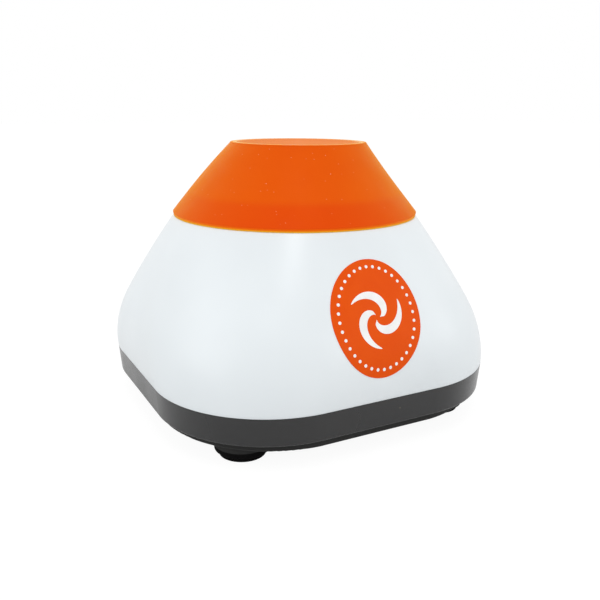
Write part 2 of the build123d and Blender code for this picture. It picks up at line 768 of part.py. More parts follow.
# ---- head -------------------------------------------------------------------------------------
def cup_carrier():
    """Moulded hub and flange: bearing pocket below, ring wall that plugs into the cap above."""
    pocket = bearing_radius + race_gap
    groove = bearing_radius + snap_groove
    ring_in = carrier_ring_radius - carrier_ring_wall
    carrier = turned([
        (pocket, carrier_low), (carrier_hub_radius, carrier_low), (carrier_hub_radius, flange_z),
        (carrier_flange_radius, flange_z), (carrier_flange_radius, flange_top),
        (carrier_ring_radius, flange_top), (carrier_ring_radius, flange_top + carrier_ring_high),
        (ring_in, flange_top + carrier_ring_high), (ring_in, flange_top), (0, flange_top),
        (0, bearing_top + relief_high), (relief_radius, bearing_top + relief_high), (relief_radius, bearing_top),
        (pocket, bearing_top), (pocket, bearing_z), (groove, bearing_z), (groove, bearing_z - snap_ring_thick),
        (pocket, bearing_z - snap_ring_thick),
    ])
    rib_in, rib_out = carrier_hub_radius - bite, carrier_flange_radius - rib_short
    rib = make_face(Polyline(
        (rib_in, 0, flange_z + bite), (rib_in, 0, carrier_low + rib_lift), (rib_out, 0, flange_z),
        (rib_out, 0, flange_z + bite), close=True))
    rib = Pos(0, rib_thick / 2, 0) * extrude(rib, rib_thick, dir=(0, -1, 0))
    for n in range(carrier_ribs):
        carrier += Rot(0, 0, 360 / carrier_ribs * (n + 0.5)) * rib
    return Pos(*crank_at) * carrier


def bearing_snap_ring():
    """Internal circlip under the bearing."""
    outer = bearing_radius + snap_groove - race_gap
    clip = ring(outer, outer - snap_ring_wide, bearing_z - snap_ring_thick, bearing_z, (0, -crank))
    return clip - Pos(0, -crank, bearing_z) * Box(
        2 * bearing_radius, snap_ring_open, 3 * snap_ring_thick, align=(Align.MIN, Align.CENTER, Align.CENTER))


def silicone_cap():
    """Soft cap: dished cup on top, thin leaning skirt, and a hem that snaps under the collar bead."""
    cap = skirt_solid(hem_z, rim_z)
    cap = fillet(cap.faces().sort_by(Axis.Z)[-1].edges(), rim_round)
    cap -= skirt_solid(hem_z - past, flange_top, skirt_wall)
    wall_low = hem_radius - skirt_wall / 2
    cap += ring(wall_low - skirt_slope * lip_high_cap, neck_radius + snap_gap, hem_z, hem_z + lip_high_cap)
    grip_in = carrier_flange_radius + cap_gap
    grip_low = flange_z - cap_gap - grip_hook_high
    grip = turned([
        (grip_in - grip_hook, grip_low), (grip_in + grip_wall, grip_low),
        (grip_in + grip_wall, flange_top + bite), (grip_in, flange_top + bite), (grip_in, flange_z - cap_gap),
        (grip_in - grip_hook, flange_z - cap_gap),
    ])
    cap += Pos(*crank_at) * grip
    groove_in = carrier_ring_radius - carrier_ring_wall - cap_gap
    groove_top = flange_top + carrier_ring_high + cap_gap
    cap -= ring(carrier_ring_radius + cap_gap, groove_in, flange_top, groove_top, (0, -crank))
    return cap - dish()


def dish():
    """Hollow of the cup: flat floor, belly arc, open above the rim."""
    edge = rim_radius - rim_land
    run, climb = edge - dish_flat_radius, rim_z - dish_z
    sag = dish_belly / math.hypot(run, climb)
    middle = (dish_flat_radius + run / 2 + sag * climb, 0, dish_z + climb / 2 - sag * run)
    belly = ThreePointArc((dish_flat_radius, 0, dish_z), middle, (edge, 0, rim_z))
    rest = Polyline((edge, 0, rim_z), (edge, 0, rim_z + past), (0, 0, rim_z + past), (0, 0, dish_z),
                    (dish_flat_radius, 0, dish_z))
    hollow = revolve(make_face(belly.edges() + rest.edges()), Axis.Z)
    lead_in = Cone(edge, edge + rim_round, rim_round, align=UPRIGHT)
    return Pos(*crank_at) * (hollow + Pos(0, 0, rim_z - rim_round) * lead_in)


# ---- electrics --------------------------------------------------------------------------------
def power_board():
    board = Pos(0, board_back, board_z) * Box(
        board_wide, board_back - board_front, board_thick, align=(Align.CENTER, Align.MAX, Align.MIN))
    for x, y in board_post_places():
        board -= rod(small_thread + screw_clear, board_z, board_top, (x, y))
    return board


def board_screws():
    screw = Rot(180, 0, 0) * pan_screw(small_thread, board_screw_long, small_head_radius, small_head_high)
    return [Pos(x, y, board_top) * screw for x, y in board_post_places()]


def dc_jack_housing():
    """Board-mounted barrel inlet with an arched top and a round mouth to the rear."""
    arch = jack_wide / 2
    straight = jack_high - arch
    face = Pos(0, straight / 2) * Rectangle(jack_wide, straight) + Pos(0, straight) * Circle(arch)
    plane = Plane(origin=(0, jack_front, board_top), x_dir=(-1, 0, 0), z_dir=(0, 1, 0))
    body = extrude(plane * face, -jack_long)
    bore = Pos(0, jack_front, jack_z) * Rot(90, 0, 0) * Cylinder(jack_bore, jack_bore_deep, align=UPRIGHT)
    return body - bore - dc_jack_pin()


def dc_jack_pin():
    """Pin of the inlet, free in the bore, on a thicker root in the housing."""
    back = jack_front - jack_bore_deep
    pin = Pos(0, back, jack_z) * Rot(-90, 0, 0) * Cylinder(
        jack_pin_radius, jack_bore_deep - jack_pin_short, align=UPRIGHT)
    return pin + Pos(0, back, jack_z) * Rot(90, 0, 0) * Cylinder(jack_root_radius, jack_root_long, align=UPRIGHT)


def filter_capacitor():
    can = rod(capacitor_radius, board_top, board_top + capacitor_high, (capacitor_x, board_middle))
    return chamfer(can.edges().filter_by(GeomType.CIRCLE), capacitor_edge)


def board_headers():
    wide, long, high = header_size
    header = Box(wide, long, high, align=UPRIGHT)
    for side in (-1, 1):
        hole = Cylinder(wire_radius + slide_gap, header_hole_deep, align=UPRIGHT)
        header -= Pos(side * wire_pitch / 2, 0, high - header_hole_deep) * hole
    return [Pos(header_x, y, board_top) * header for y in header_rows]


def wire(points, radius):
    """Lead of eight-sided section along straight runs with arcs between them."""
    path = FilletPolyline(*points, radius=radius)
    return sweep(Plane(origin=path @ 0, z_dir=path % 0) * RegularPolygon(wire_radius, 8), path)


def motor_leads():
    """Two leads from the front header, down beside the motor and along the floor to its terminals."""
    socket = board_top + header_size[2] - header_hole_deep
    y = header_rows[0]
    beside = motor_radius + wire_bend
    floor = floor_top + 1.5 * wire_radius
    leads = []
    for side in (1, -1):
        x = header_x - side * wire_pitch / 2
        end = side * (terminal_at + tag_thick / 2)
        leads.append(wire([
            (x, y, socket), (x, y, socket + lead_up), (x, beside, socket + lead_up - lead_step),
            (x, beside - lead_step / 3, floor), (end, wire_bend + fit_gap, floor),
            (end, 0, bell_low - terminal_long - wire_radius),
        ], [wire_bend, wire_turn, wire_bend, wire_turn]))
    return leads


def switch_leads():
    """Two leads from the rear header over the inlet and past the corner post to the switch's end tags."""
    socket = board_top + header_size[2] - header_hole_deep
    over = board_top + jack_high + 2 * lead_step
    y = header_rows[1]
    x_tag = switch_face_x - switch_thick / 2
    tag_low = switch_low() - tag_long
    between = (guide_at + case_screw_at + (post_radius - pillar_radius) / math.sqrt(2)) / 2
    beside = guide_at + post_radius + 2 * wire_radius
    leads = []
    for n, tag_y in enumerate((tag_places()[2], tag_places()[0])):
        x = header_x + (n - 0.5) * wire_pitch
        high = over + n * lead_step
        low = tag_low - wire_bend - (n + 1) * lead_step
        leads.append(wire([
            (x, y, socket), (x, y, high), (capacitor_x, board_middle + lead_step, high + lead_step),
            (-between, between, high - lead_step), (-beside, 2 * between - beside, high - lead_step),
            (x_tag + wire_turn, tag_y + 2 * wire_bend, low), (x_tag, tag_y + wire_bend, low),
            (x_tag, tag_y, tag_low - fit_gap),
        ], [wire_bend] * 4 + [wire_turn / 2] * 2))
    return leads


# ---- micro switch -----------------------------------------------------------------------------
def switch_centre():
    return (switch_face_x - switch_thick / 2, switch_middle_y, switch_low())


def lever_pivot():
    """Point on the lever's pivot line."""
    x, y, z = switch_centre()
    return (x, y - switch_long / 2 + lever_pivot_in, switch_top_z + lever_pivot_up)


def tag_places():
    return [switch_middle_y + side * (switch_long / 2 - tag_in) for side in (-1, 0, 1)]


def plunger_place():
    x, y, z = lever_pivot()
    return (x, y + plunger_arm)


def microswitch_body():
    body = Pos(*switch_centre()) * Box(switch_thick, switch_long, switch_high, align=UPRIGHT)
    body = fillet(body.edges().filter_by(Axis.X), switch_round)
    for y in switch_hole_places():
        body -= Pos(switch_face_x, y, switch_low() + switch_hole_up) * Rot(0, -90, 0) * Cylinder(
            small_thread + screw_clear, 2 * switch_thick)
    x, y = plunger_place()
    body -= rod(plunger_radius + plunger_gap, switch_top_z - plunger_sunk - tip_gap, switch_top_z, (x, y))
    return body


def switch_plunger():
    x, y, z = lever_pivot()
    contact = z + plunger_arm * math.tan(math.radians(lever_lean)) - plunger_under
    button = rod(plunger_radius, switch_top_z - plunger_sunk, contact, plunger_place())
    return fillet(button.faces().sort_by(Axis.Z)[-1].edges(), plunger_round)


def switch_lever():
    """Sprung steel strip, hinged at the switch's front end, with its tip under the platform's tab."""
    strip = Box(lever_wide, lever_arm, lever_thick, align=(Align.CENTER, Align.MIN, Align.CENTER))
    strip += Rot(0, 90, 0) * Cylinder(lever_hinge_radius, lever_wide)
    return Pos(*lever_pivot()) * Rot(lever_lean, 0, 0) * strip


def switch_terminals():
    x, y, z = switch_centre()
    tag = Box(tag_wide, tag_thick, tag_long, align=(Align.CENTER, Align.CENTER, Align.MAX))
    return [Pos(x, tag_y, z) * tag for tag_y in tag_places()]


def switch_screws():
    screw = Rot(0, -90, 0) * pan_screw(small_thread, switch_thick + bracket_wall, small_head_radius, small_head_high)
    return [Pos(switch_face_x, y, switch_low() + switch_hole_up) * screw for y in switch_hole_places()]


pieces = {
    "upper_shell": upper_shell,
    "base_tray": base_tray,
    "suction_foot_front_left": lambda: suction_foot((-foot_at, -foot_at)),
    "suction_foot_front_right": lambda: suction_foot((foot_at, -foot_at)),
    "suction_foot_rear_left": lambda: suction_foot((-foot_at, foot_at)),
    "suction_foot_rear_right": lambda: suction_foot((foot_at, foot_at)),
    "case_screws": case_screws,
    "front_badge": front_badge,
    "motor_plate": motor_plate,
    "guide_bushes": guide_bushes,
    "guide_screws": guide_screws,
    "return_springs": return_springs,
    "motor_can": motor_can,
    "motor_magnets": motor_magnets,
    "motor_end_bell": motor_end_bell,
    "motor_bushings": motor_bushings,
    "motor_brushes": motor_brushes,
    "motor_terminals": motor_terminals,
    "motor_screws": motor_screws,
    "motor_shaft": motor_shaft,
    "armature_core": armature_core,
    "armature_windings": armature_windings,
    "commutator": commutator,
    "eccentric_hub": eccentric_hub,
    "hub_set_screw": hub_set_screw,
    "counterweight": counterweight,
    "bearing_inner_race": bearing_inner_race,
    "bearing_outer_race": bearing_outer_race,
    "bearing_balls": bearing_balls,
    "bearing_cage": bearing_cage,
    "journal_clip": journal_clip,
    "cup_carrier": cup_carrier,
    "bearing_snap_ring": bearing_snap_ring,
    "silicone_cap": silicone_cap,
    "power_board": power_board,
    "board_screws": board_screws,
    "dc_jack_housing": dc_jack_housing,
    "dc_jack_pin": dc_jack_pin,
    "filter_capacitor": filter_capacitor,
    "board_headers": board_headers,
    "motor_leads": motor_leads,
    "switch_leads": switch_leads,
    "microswitch_body": microswitch_body,
    "switch_plunger": switch_plunger,
    "switch_lever": switch_lever,
    "switch_terminals": switch_terminals,
    "switch_screws": switch_screws,
}

os.makedirs("parts", exist_ok=True)
for name, make in pieces.items():
    made = make()
    solids = made if isinstance(made, list) else [made]
    export_step(Compound(children=[s for one in solids for s in one.solids()]), f"parts/{name}.step")
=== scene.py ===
import itertools
import json
import math

import bmesh
import bpy
from mathutils import Matrix, Vector


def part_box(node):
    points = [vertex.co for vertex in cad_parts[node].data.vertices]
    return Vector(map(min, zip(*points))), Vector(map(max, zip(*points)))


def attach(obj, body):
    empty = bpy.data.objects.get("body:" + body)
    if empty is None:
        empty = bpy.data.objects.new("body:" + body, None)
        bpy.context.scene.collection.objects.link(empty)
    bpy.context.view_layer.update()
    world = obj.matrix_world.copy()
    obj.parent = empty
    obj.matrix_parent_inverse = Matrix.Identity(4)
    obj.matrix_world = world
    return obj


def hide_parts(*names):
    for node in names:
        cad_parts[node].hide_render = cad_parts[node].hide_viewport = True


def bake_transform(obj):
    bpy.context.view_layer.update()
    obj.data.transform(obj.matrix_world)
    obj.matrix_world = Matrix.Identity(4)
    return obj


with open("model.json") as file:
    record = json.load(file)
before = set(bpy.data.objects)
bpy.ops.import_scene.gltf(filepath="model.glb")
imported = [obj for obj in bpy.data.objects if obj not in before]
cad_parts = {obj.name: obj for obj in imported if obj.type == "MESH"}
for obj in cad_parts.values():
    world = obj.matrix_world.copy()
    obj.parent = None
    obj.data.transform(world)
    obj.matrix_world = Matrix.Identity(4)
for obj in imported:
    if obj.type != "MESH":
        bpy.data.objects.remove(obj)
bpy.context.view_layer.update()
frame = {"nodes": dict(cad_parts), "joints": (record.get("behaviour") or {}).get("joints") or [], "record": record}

# Looks of a touch vortex mixer: satin white shell over a grey tray, an orange silicone cap that
# swings on the motor's crank, an oval vinyl label, and the drive inside.
# Metres, in the frame of the model: +Z up, label towards -Y.

MM = 0.001

# ---- places read from the frame ---------------------------------------------------------------
shell_low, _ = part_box("upper_shell")
cap_low, cap_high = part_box("silicone_cap")
crank_joint = next(joint for joint in frame["joints"] if joint["name"] == "cup_counter")
CRANK = -crank_joint["pos_m"][1]         # the cup's centre stands this far towards -Y
SHADOW_LINE = 0.15 * MM                  # open seam between tray and solid shell
SEAM_Z = shell_low.z - SHADOW_LINE
HEM_SAG = 0.25 * MM                      # the soft hem sags onto the shell
HEM_Z = cap_low.z - HEM_SAG
RIM_Z = cap_high.z

# ---- casing -----------------------------------------------------------------------------------
SEAM_GAP = 0.04 * MM                     # what shows of the seam
SEAM_HALF = 50.0 * MM
SEAM_LEAN = math.radians(-9.8)           # the wall leans out at the seam
SHOULDER_RADIUS = 32.2 * MM              # arc that turns the wall inwards
SHOULDER_RISE = 18.3 * MM                # height of its end over the seam
SLOPE_RADIUS = 175.0 * MM                # long arc from there to the top
SHELL_RISE = 41.35 * MM
CORNER_RADIUS = 32.7 * MM                # plan corners at the seam
TOP_FLAT = 0.35 * MM                     # straight half side left at the top
SHELL_WALL = 2.2 * MM
ROOF_WALL = 2.4 * MM
EDGE_ROUND = 0.15 * MM
SEAT_Z = SEAM_Z + SHELL_RISE
PILLAR_AT = 24.2 * MM                    # the four case screws, in X and Y
PILLAR_RADIUS = 3.3 * MM
PILOT_RADIUS = 1.5 * MM
PILOT_DEEP = 12.0 * MM
WINDOW_RADIUS = 4.75 * MM                # way for the plug through the rear wall
WINDOW_FLARE = 1.0 * MM
BAND_LOW_Z = 7.3 * MM                    # foot of the tray's side band, over its plinth
PLINTH_HALF = 47.43 * MM
PLINTH_CORNER = 30.13 * MM               # the solid's plan corner
PLINTH_WIDER = 2.2 * MM                  # added to it, so that the plinth draws in at its corners
PLINTH_ROUND = 0.6 * MM                  # round on the plinth's lower edge
PLINTH_SKIN = 0.05 * MM                  # corners this close to its walls belong to them

# ---- cap --------------------------------------------------------------------------------------
HEM_RADIUS = 35.87 * MM                  # at the widest, over the hem's turned-in edge
RIM_RADIUS = 19.45 * MM
SKIRT_SWELL = 0.15 * MM
SKIRT_WALL = 2.3 * MM
SKIN_WALL = 1.6 * MM                     # leaning skin over the cup
STILL_HIGH = 6.6 * MM                    # lowest part of the skirt, which only squashes
HEM_EDGE = 1.0 * MM                      # height of the turned-in edge
HEM_TUCK = 0.25 * MM                     # how far that edge draws in
HEM_UNDER = 0.325 * MM                   # and how far its lowest line does
RIM_ROUND = 0.35 * MM
RIM_SPREAD = 1.3                         # its outer round is this much wider than high
RIM_LAND = 1.8 * MM
HEM_LIP = 1.0 * MM
SNAP_GAP = 0.3 * MM
BEAD_HIGH = 1.0 * MM
BEAD_REACH = 1.0 * MM
COLLAR_WALL = 1.7 * MM
SKIN_GAP = 0.05 * MM
SLIP = 0.005 * MM                        # between the pieces of the cap, where one turns on another
DISH_DEEP = 6.95 * MM
DISH_FLAT = 5.0 * MM
DISH_BELLY = 2.0 * MM
GRIP_GAP = 0.15 * MM
FLANGE_RADIUS = 21.0 * MM
FLANGE_Z = 64.6 * MM
FLANGE_THICK = 3.0 * MM
BACKED_FROM = 2.8 * MM                   # painted light: the skin turns lighter, as if the carrier shone through it, from so far under its flange
BACKED_FULL = 0.6 * MM
GRIP_WALL = 2.1 * MM
GRIP_HOOK = 1.4 * MM
PLUG_RADIUS = 17.5 * MM
PLUG_WALL = 2.0 * MM
PLUG_HIGH = 5.0 * MM

# ---- label ------------------------------------------------------------------------------------
LABEL_X = -1.0 * MM
LABEL_RISE = 21.3 * MM
LABEL_WIDE = 12.9 * MM                   # half width
LABEL_LONG = 15.1 * MM                   # half length, up the slope
LABEL_THICK = 0.12 * MM
INK_THICK = 0.02 * MM
SWIRL_ARMS = 3
SWIRL_FROM = 1.3 * MM                    # radius at the root of an arm
SWIRL_REACH = 6.6 * MM                   # how much farther out its tip is
SWIRL_TURN = 2.6                         # radians that an arm curls through
SWIRL_WIDE = 1.25 * MM                   # half width at the belly
SWIRL_TIP = 0.06 * MM                    # and at the tip
SWIRL_ROOT = 0.12                        # share of the swell that the root starts with
SWIRL_FULL = 0.8                         # under 1, so that the belly is fuller than a sine
DOTS = 36
DOT_RADIUS = 0.42 * MM
DOT_INSET = 2.0 * MM                     # ring's distance in from the film's edge

# ---- drive ------------------------------------------------------------------------------------
GUIDE_AT = 17.5 * MM                     # the platform's four guides, in X and Y
SPRING_WIRE = 0.35 * MM
SPRING_RADIUS = 3.65 * MM
SPRING_TURNS = 4.0
MOTOR_RADIUS = 13.85 * MM
TAG_THICK = 0.5 * MM
LEAD_RADIUS = 0.6 * MM
LEAD_BEND = 4.0 * MM
LEAD_PITCH = 2.5 * MM
LEAD_SAG = 1.6 * MM                      # the leads hang this far under the motor's tags
HEADER_X = 9.0 * MM
HEADER_SOCKET_Z = 18.0 * MM

AROUND = 256                             # corners round each turned piece
SAME_POINT = 0.0005 * MM                 # corners closer than this are one
SHARE, FIRST, SECOND, MIXED = 0, 6, 7, 2  # a colour mix's sockets, by number as their names repeat


# ---- small tools ------------------------------------------------------------------------------
def linear(colour):
    """Linear RGBA of an sRGB hex colour."""
    parts = [int(colour[n : n + 2], 16) / 255 for n in (0, 2, 4)]
    return tuple(p / 12.92 if p <= 0.04045 else ((p + 0.055) / 1.055) ** 2.4 for p in parts) + (1.0,)


def add(tree, kind, inputs=(), **settings):
    """Adds a node with its settings; each input gets a value or a link from another node's socket."""
    node = tree.nodes.new(kind)
    for name, value in settings.items():
        setattr(node, name, value)
    for name, value in dict(inputs).items():
        if isinstance(value, bpy.types.NodeSocket):
            tree.links.new(value, node.inputs[name])
        else:
            node.inputs[name].default_value = value
    return node


def per(size):
    """Texture scale that makes features of the given size."""
    return 1.0 / size


def placed(name, data):
    """New object at the origin, linked to the scene."""
    piece = bpy.data.objects.new(name, data)
    bpy.context.scene.collection.objects.link(piece)
    return piece


def plain_mesh(piece):
    """Mesh that an object's curve or modifiers come to."""
    bpy.context.view_layer.update()
    shape = piece.evaluated_get(bpy.context.evaluated_depsgraph_get())
    return bpy.data.meshes.new_from_object(shape)


def finished(name, mesh, material, smooth_angle=35):
    """Object at the origin from a closed mesh, with doubles merged and faces pointing outwards."""
    work = bmesh.new()
    work.from_mesh(mesh)
    bmesh.ops.remove_doubles(work, verts=work.verts, dist=SAME_POINT)
    bmesh.ops.recalc_face_normals(work, faces=work.faces)
    work.to_mesh(mesh)
    work.free()
    mesh.name = name
    mesh.polygons.foreach_set("use_smooth", [True] * len(mesh.polygons))
    mesh.set_sharp_from_angle(angle=math.radians(smooth_angle))
    mesh.materials.clear()
    mesh.materials.append(material)
    return placed(name, mesh)


def combine(piece, other, operation):
    """Boolean of a closed piece with another."""
    modifier = piece.modifiers.new(operation, "BOOLEAN")
    modifier.operation = operation
    modifier.solver = "EXACT"
    modifier.object = other
    mesh = plain_mesh(piece)
    piece.modifiers.remove(modifier)
    piece.data = mesh


def geometry_tree(name, **sizes):
    """Geometry tree with named inputs for its sizes and its finish, and the sockets that give them."""
    tree = bpy.data.node_groups.new(name, "GeometryNodeTree")
    for size, kind in {**sizes, "Finish": "Material"}.items():
        tree.interface.new_socket(size.replace("_", " "), in_out="INPUT", socket_type="NodeSocket" + kind)
    tree.interface.new_socket("Geometry", in_out="OUTPUT", socket_type="NodeSocketGeometry")
    return tree, add(tree, "NodeGroupInput").outputs


def end_tree(tree, geometry, finish):
    """Ends a geometry tree: its instances become real meshes and get their material."""
    whole = add(tree, "GeometryNodeRealizeInstances", {"Geometry": geometry.outputs[0]})
    dressed = add(tree, "GeometryNodeSetMaterial", {"Geometry": whole.outputs[0], "Material": finish})
    add(tree, "NodeGroupOutput", {"Geometry": dressed.outputs[0]})
    return tree


def baked(name, tree, inputs):
    """Plain mesh that a geometry tree makes from its named inputs."""
    holder = placed(name, bpy.data.meshes.new(name))
    modifier = holder.modifiers.new(name, "NODES")
    modifier.node_group = tree
    for item in tree.interface.items_tree:
        if item.item_type == "SOCKET" and item.name in inputs:
            modifier[item.identifier] = inputs[item.name]
    mesh = plain_mesh(holder)
    bpy.data.objects.remove(holder)
    return mesh


def skin_of_rings(rings, closed=True):
    """Mesh through rings of equally many points; closed joins the last ring to the first."""
    count = len(rings[0])
    points = [p for ring in rings for p in ring]
    faces = []
    for n in range(len(rings) if closed else len(rings) - 1):
        here = n * count
        there = (n + 1) % len(rings) * count
        for k in range(count):
            k2 = (k + 1) % count
            faces.append((here + k, here + k2, there + k2, there + k))
    mesh = bpy.data.meshes.new("rings")
    mesh.from_pydata(points, [], faces)
    return mesh


def steps(low, high, count):
    """Values at equal steps from low to high, both among them."""
    return [low + (high - low) * n / count for n in range(count + 1)]


# ---- materials --------------------------------------------------------------------------------
def surface(name, **shader):
    """New material: its tree, its Principled shader with constant sockets set, and object coordinates."""
    material = bpy.data.materials.new(name)
    material.use_nodes = True
    tree = material.node_tree
    shade = tree.nodes["Principled BSDF"]
    for socket, value in shader.items():
        shade.inputs[socket.replace("_", " ")].default_value = value
    place = add(tree, "ShaderNodeTexCoord").outputs["Object"]
    return material, tree, shade, place


def coat(tree, shade, colour, roughness):
    """Gives a shader its colour and its roughness."""
    tree.links.new(colour, shade.inputs["Base Color"])
    tree.links.new(roughness, shade.inputs["Roughness"])


def grain(tree, shade, place, size, depth, detail=3.0, stretch=None):
    """Bump from noise of one size; a stretch pulls it out into brushed or turned lines."""
    if stretch:
        place = add(tree, "ShaderNodeMapping", {"Vector": place, "Scale": stretch}).outputs["Vector"]
    noise = add(tree, "ShaderNodeTexNoise", {"Vector": place, "Scale": per(size), "Detail": detail})
    bump = add(tree, "ShaderNodeBump", {"Height": noise.outputs["Fac"], "Distance": depth, "Strength": 1.0})
    tree.links.new(bump.outputs["Normal"], shade.inputs["Normal"])


def drift(tree, place, size, low, high, detail=2.0):
    """Slow change over a surface, from low to high. Noise keeps to its middle, which is spread over both."""
    noise = add(tree, "ShaderNodeTexNoise", {"Vector": place, "Scale": per(size), "Detail": detail})
    spread = add(tree, "ShaderNodeMapRange", {
        "Value": noise.outputs["Fac"], "From Min": 0.3, "From Max": 0.7, "To Min": low, "To Max": high},
        interpolation_type="SMOOTHSTEP")
    return spread.outputs["Result"]


def clouded(tree, place, size, colour, other, detail=2.0):
    """Two near tones that change into each other in soft clouds."""
    tones = {SHARE: drift(tree, place, size, 0.0, 1.0, detail), FIRST: linear(colour), SECOND: linear(other)}
    return add(tree, "ShaderNodeMix", tones, data_type="RGBA").outputs[MIXED]


def flecked(tree, place, base, spacing, radius, rarity, colour):
    """The base colour with small round specks on it, one in every few cells of the spacing."""
    cells = add(tree, "ShaderNodeTexVoronoi", {"Vector": place, "Scale": per(spacing)})
    near = add(tree, "ShaderNodeMath", {0: cells.outputs["Distance"], 1: radius / spacing},
               operation="LESS_THAN")
    rank = add(tree, "ShaderNodeSeparateColor", {"Color": cells.outputs["Color"]})
    rare = add(tree, "ShaderNodeMath", {0: rank.outputs["Red"], 1: rarity}, operation="LESS_THAN")
    both = add(tree, "ShaderNodeMath", {0: near.outputs[0], 1: rare.outputs[0]}, operation="MULTIPLY")
    tones = {SHARE: both.outputs[0], FIRST: base, SECOND: linear(colour)}
    return add(tree, "ShaderNodeMix", tones, data_type="RGBA").outputs[MIXED]


def moulded_plastic(name, colour, shade_colour, roughness, grain_size, grain_deep, dust=0.0, **shader):
    """Injection-moulded plastic: an eroded mould leaves a fine even grain, handling dulls it in patches."""
    material, tree, shade, place = surface(name, **{"IOR": 1.5, **shader})
    grain(tree, shade, place, grain_size, grain_deep)
    base = clouded(tree, place, 22 * MM, colour, shade_colour)
    if dust:
        base = flecked(tree, place, base, 5.5 * MM, 0.16 * MM, dust, "B9B4A6")
    coat(tree, shade, base, drift(tree, place, 9 * MM, roughness - 0.05, roughness + 0.05))
    return material


def grey_textured_abs():
    """Textured ABS tray: near black from the front, and its fine grain blooms grey at a glancing view.
    Under the side band the mould was left unpolished, so the plinth and bosses are dead matte, and there they are
    painted a shade darker, a painted shade for the shadow under the band."""
    material, tree, shade, place = surface(
        "grey_textured_abs", IOR=1.5, Sheen_Weight=0.13, Sheen_Roughness=0.35)
    # the real texture is about 0.15 mm; it is drawn coarser so that it shows
    grain(tree, shade, place, 0.4 * MM, 0.003 * MM)
    # from just over the band's foot down: dead matte, and painted darker, a painted shade under the band
    height = add(tree, "ShaderNodeSeparateXYZ", {"Vector": place}).outputs["Z"]
    under = add(tree, "ShaderNodeMapRange", {
        "Value": height, "From Min": BAND_LOW_Z + 0.1 * MM, "From Max": BAND_LOW_Z - 1.0 * MM})
    under = under.outputs["Result"]
    base = clouded(tree, place, 22 * MM, "232323", "202021")
    base = flecked(tree, place, base, 2.4 * MM, 0.13 * MM, 0.2, "A39A72")
    # painted shade: a darker grey without specks under the band
    base = add(tree, "ShaderNodeMix", {SHARE: under, FIRST: base, SECOND: linear("20201F")}, data_type="RGBA")
    satin = drift(tree, place, 9 * MM, 0.21, 0.265)
    finish = add(tree, "ShaderNodeMapRange", {"Value": under, "To Min": satin, "To Max": 0.9})
    coat(tree, shade, base.outputs[MIXED], finish.outputs["Result"])
    return material


def worked_metal(name, colour, dull_colour, roughness, line_size, line_deep, stretch=(1, 1, 1)):
    """Machined, drawn or plated metal: tool lines in one direction and slightly dulled patches."""
    material, tree, shade, place = surface(name, Metallic=1.0)
    grain(tree, shade, place, line_size, line_deep, stretch=stretch)
    base = clouded(tree, place, 4 * MM, colour, dull_colour, detail=4.0)
    coat(tree, shade, base, drift(tree, place, 1.5 * MM, roughness - 0.06, roughness + 0.08))
    return material


def satin_white_abs():
    """ABS shell off a spark-eroded mould: a close satin grain, faint flow marks and a few dust specks."""
    material, tree, shade, place = surface("satin_white_abs", IOR=1.52, Sheen_Weight=0.1, Sheen_Roughness=0.3)
    # the real grain is about 0.1 mm; it is drawn three times coarser so that it shows at all
    grain(tree, shade, place, 0.35 * MM, 0.003 * MM)
    base = clouded(tree, place, 30 * MM, "E7EDF0", "E3E9EC")
    base = flecked(tree, place, base, 9 * MM, 0.1 * MM, 0.12, "C9CBC8")
    coat(tree, shade, base, drift(tree, place, 12 * MM, 0.29, 0.35))
    return material


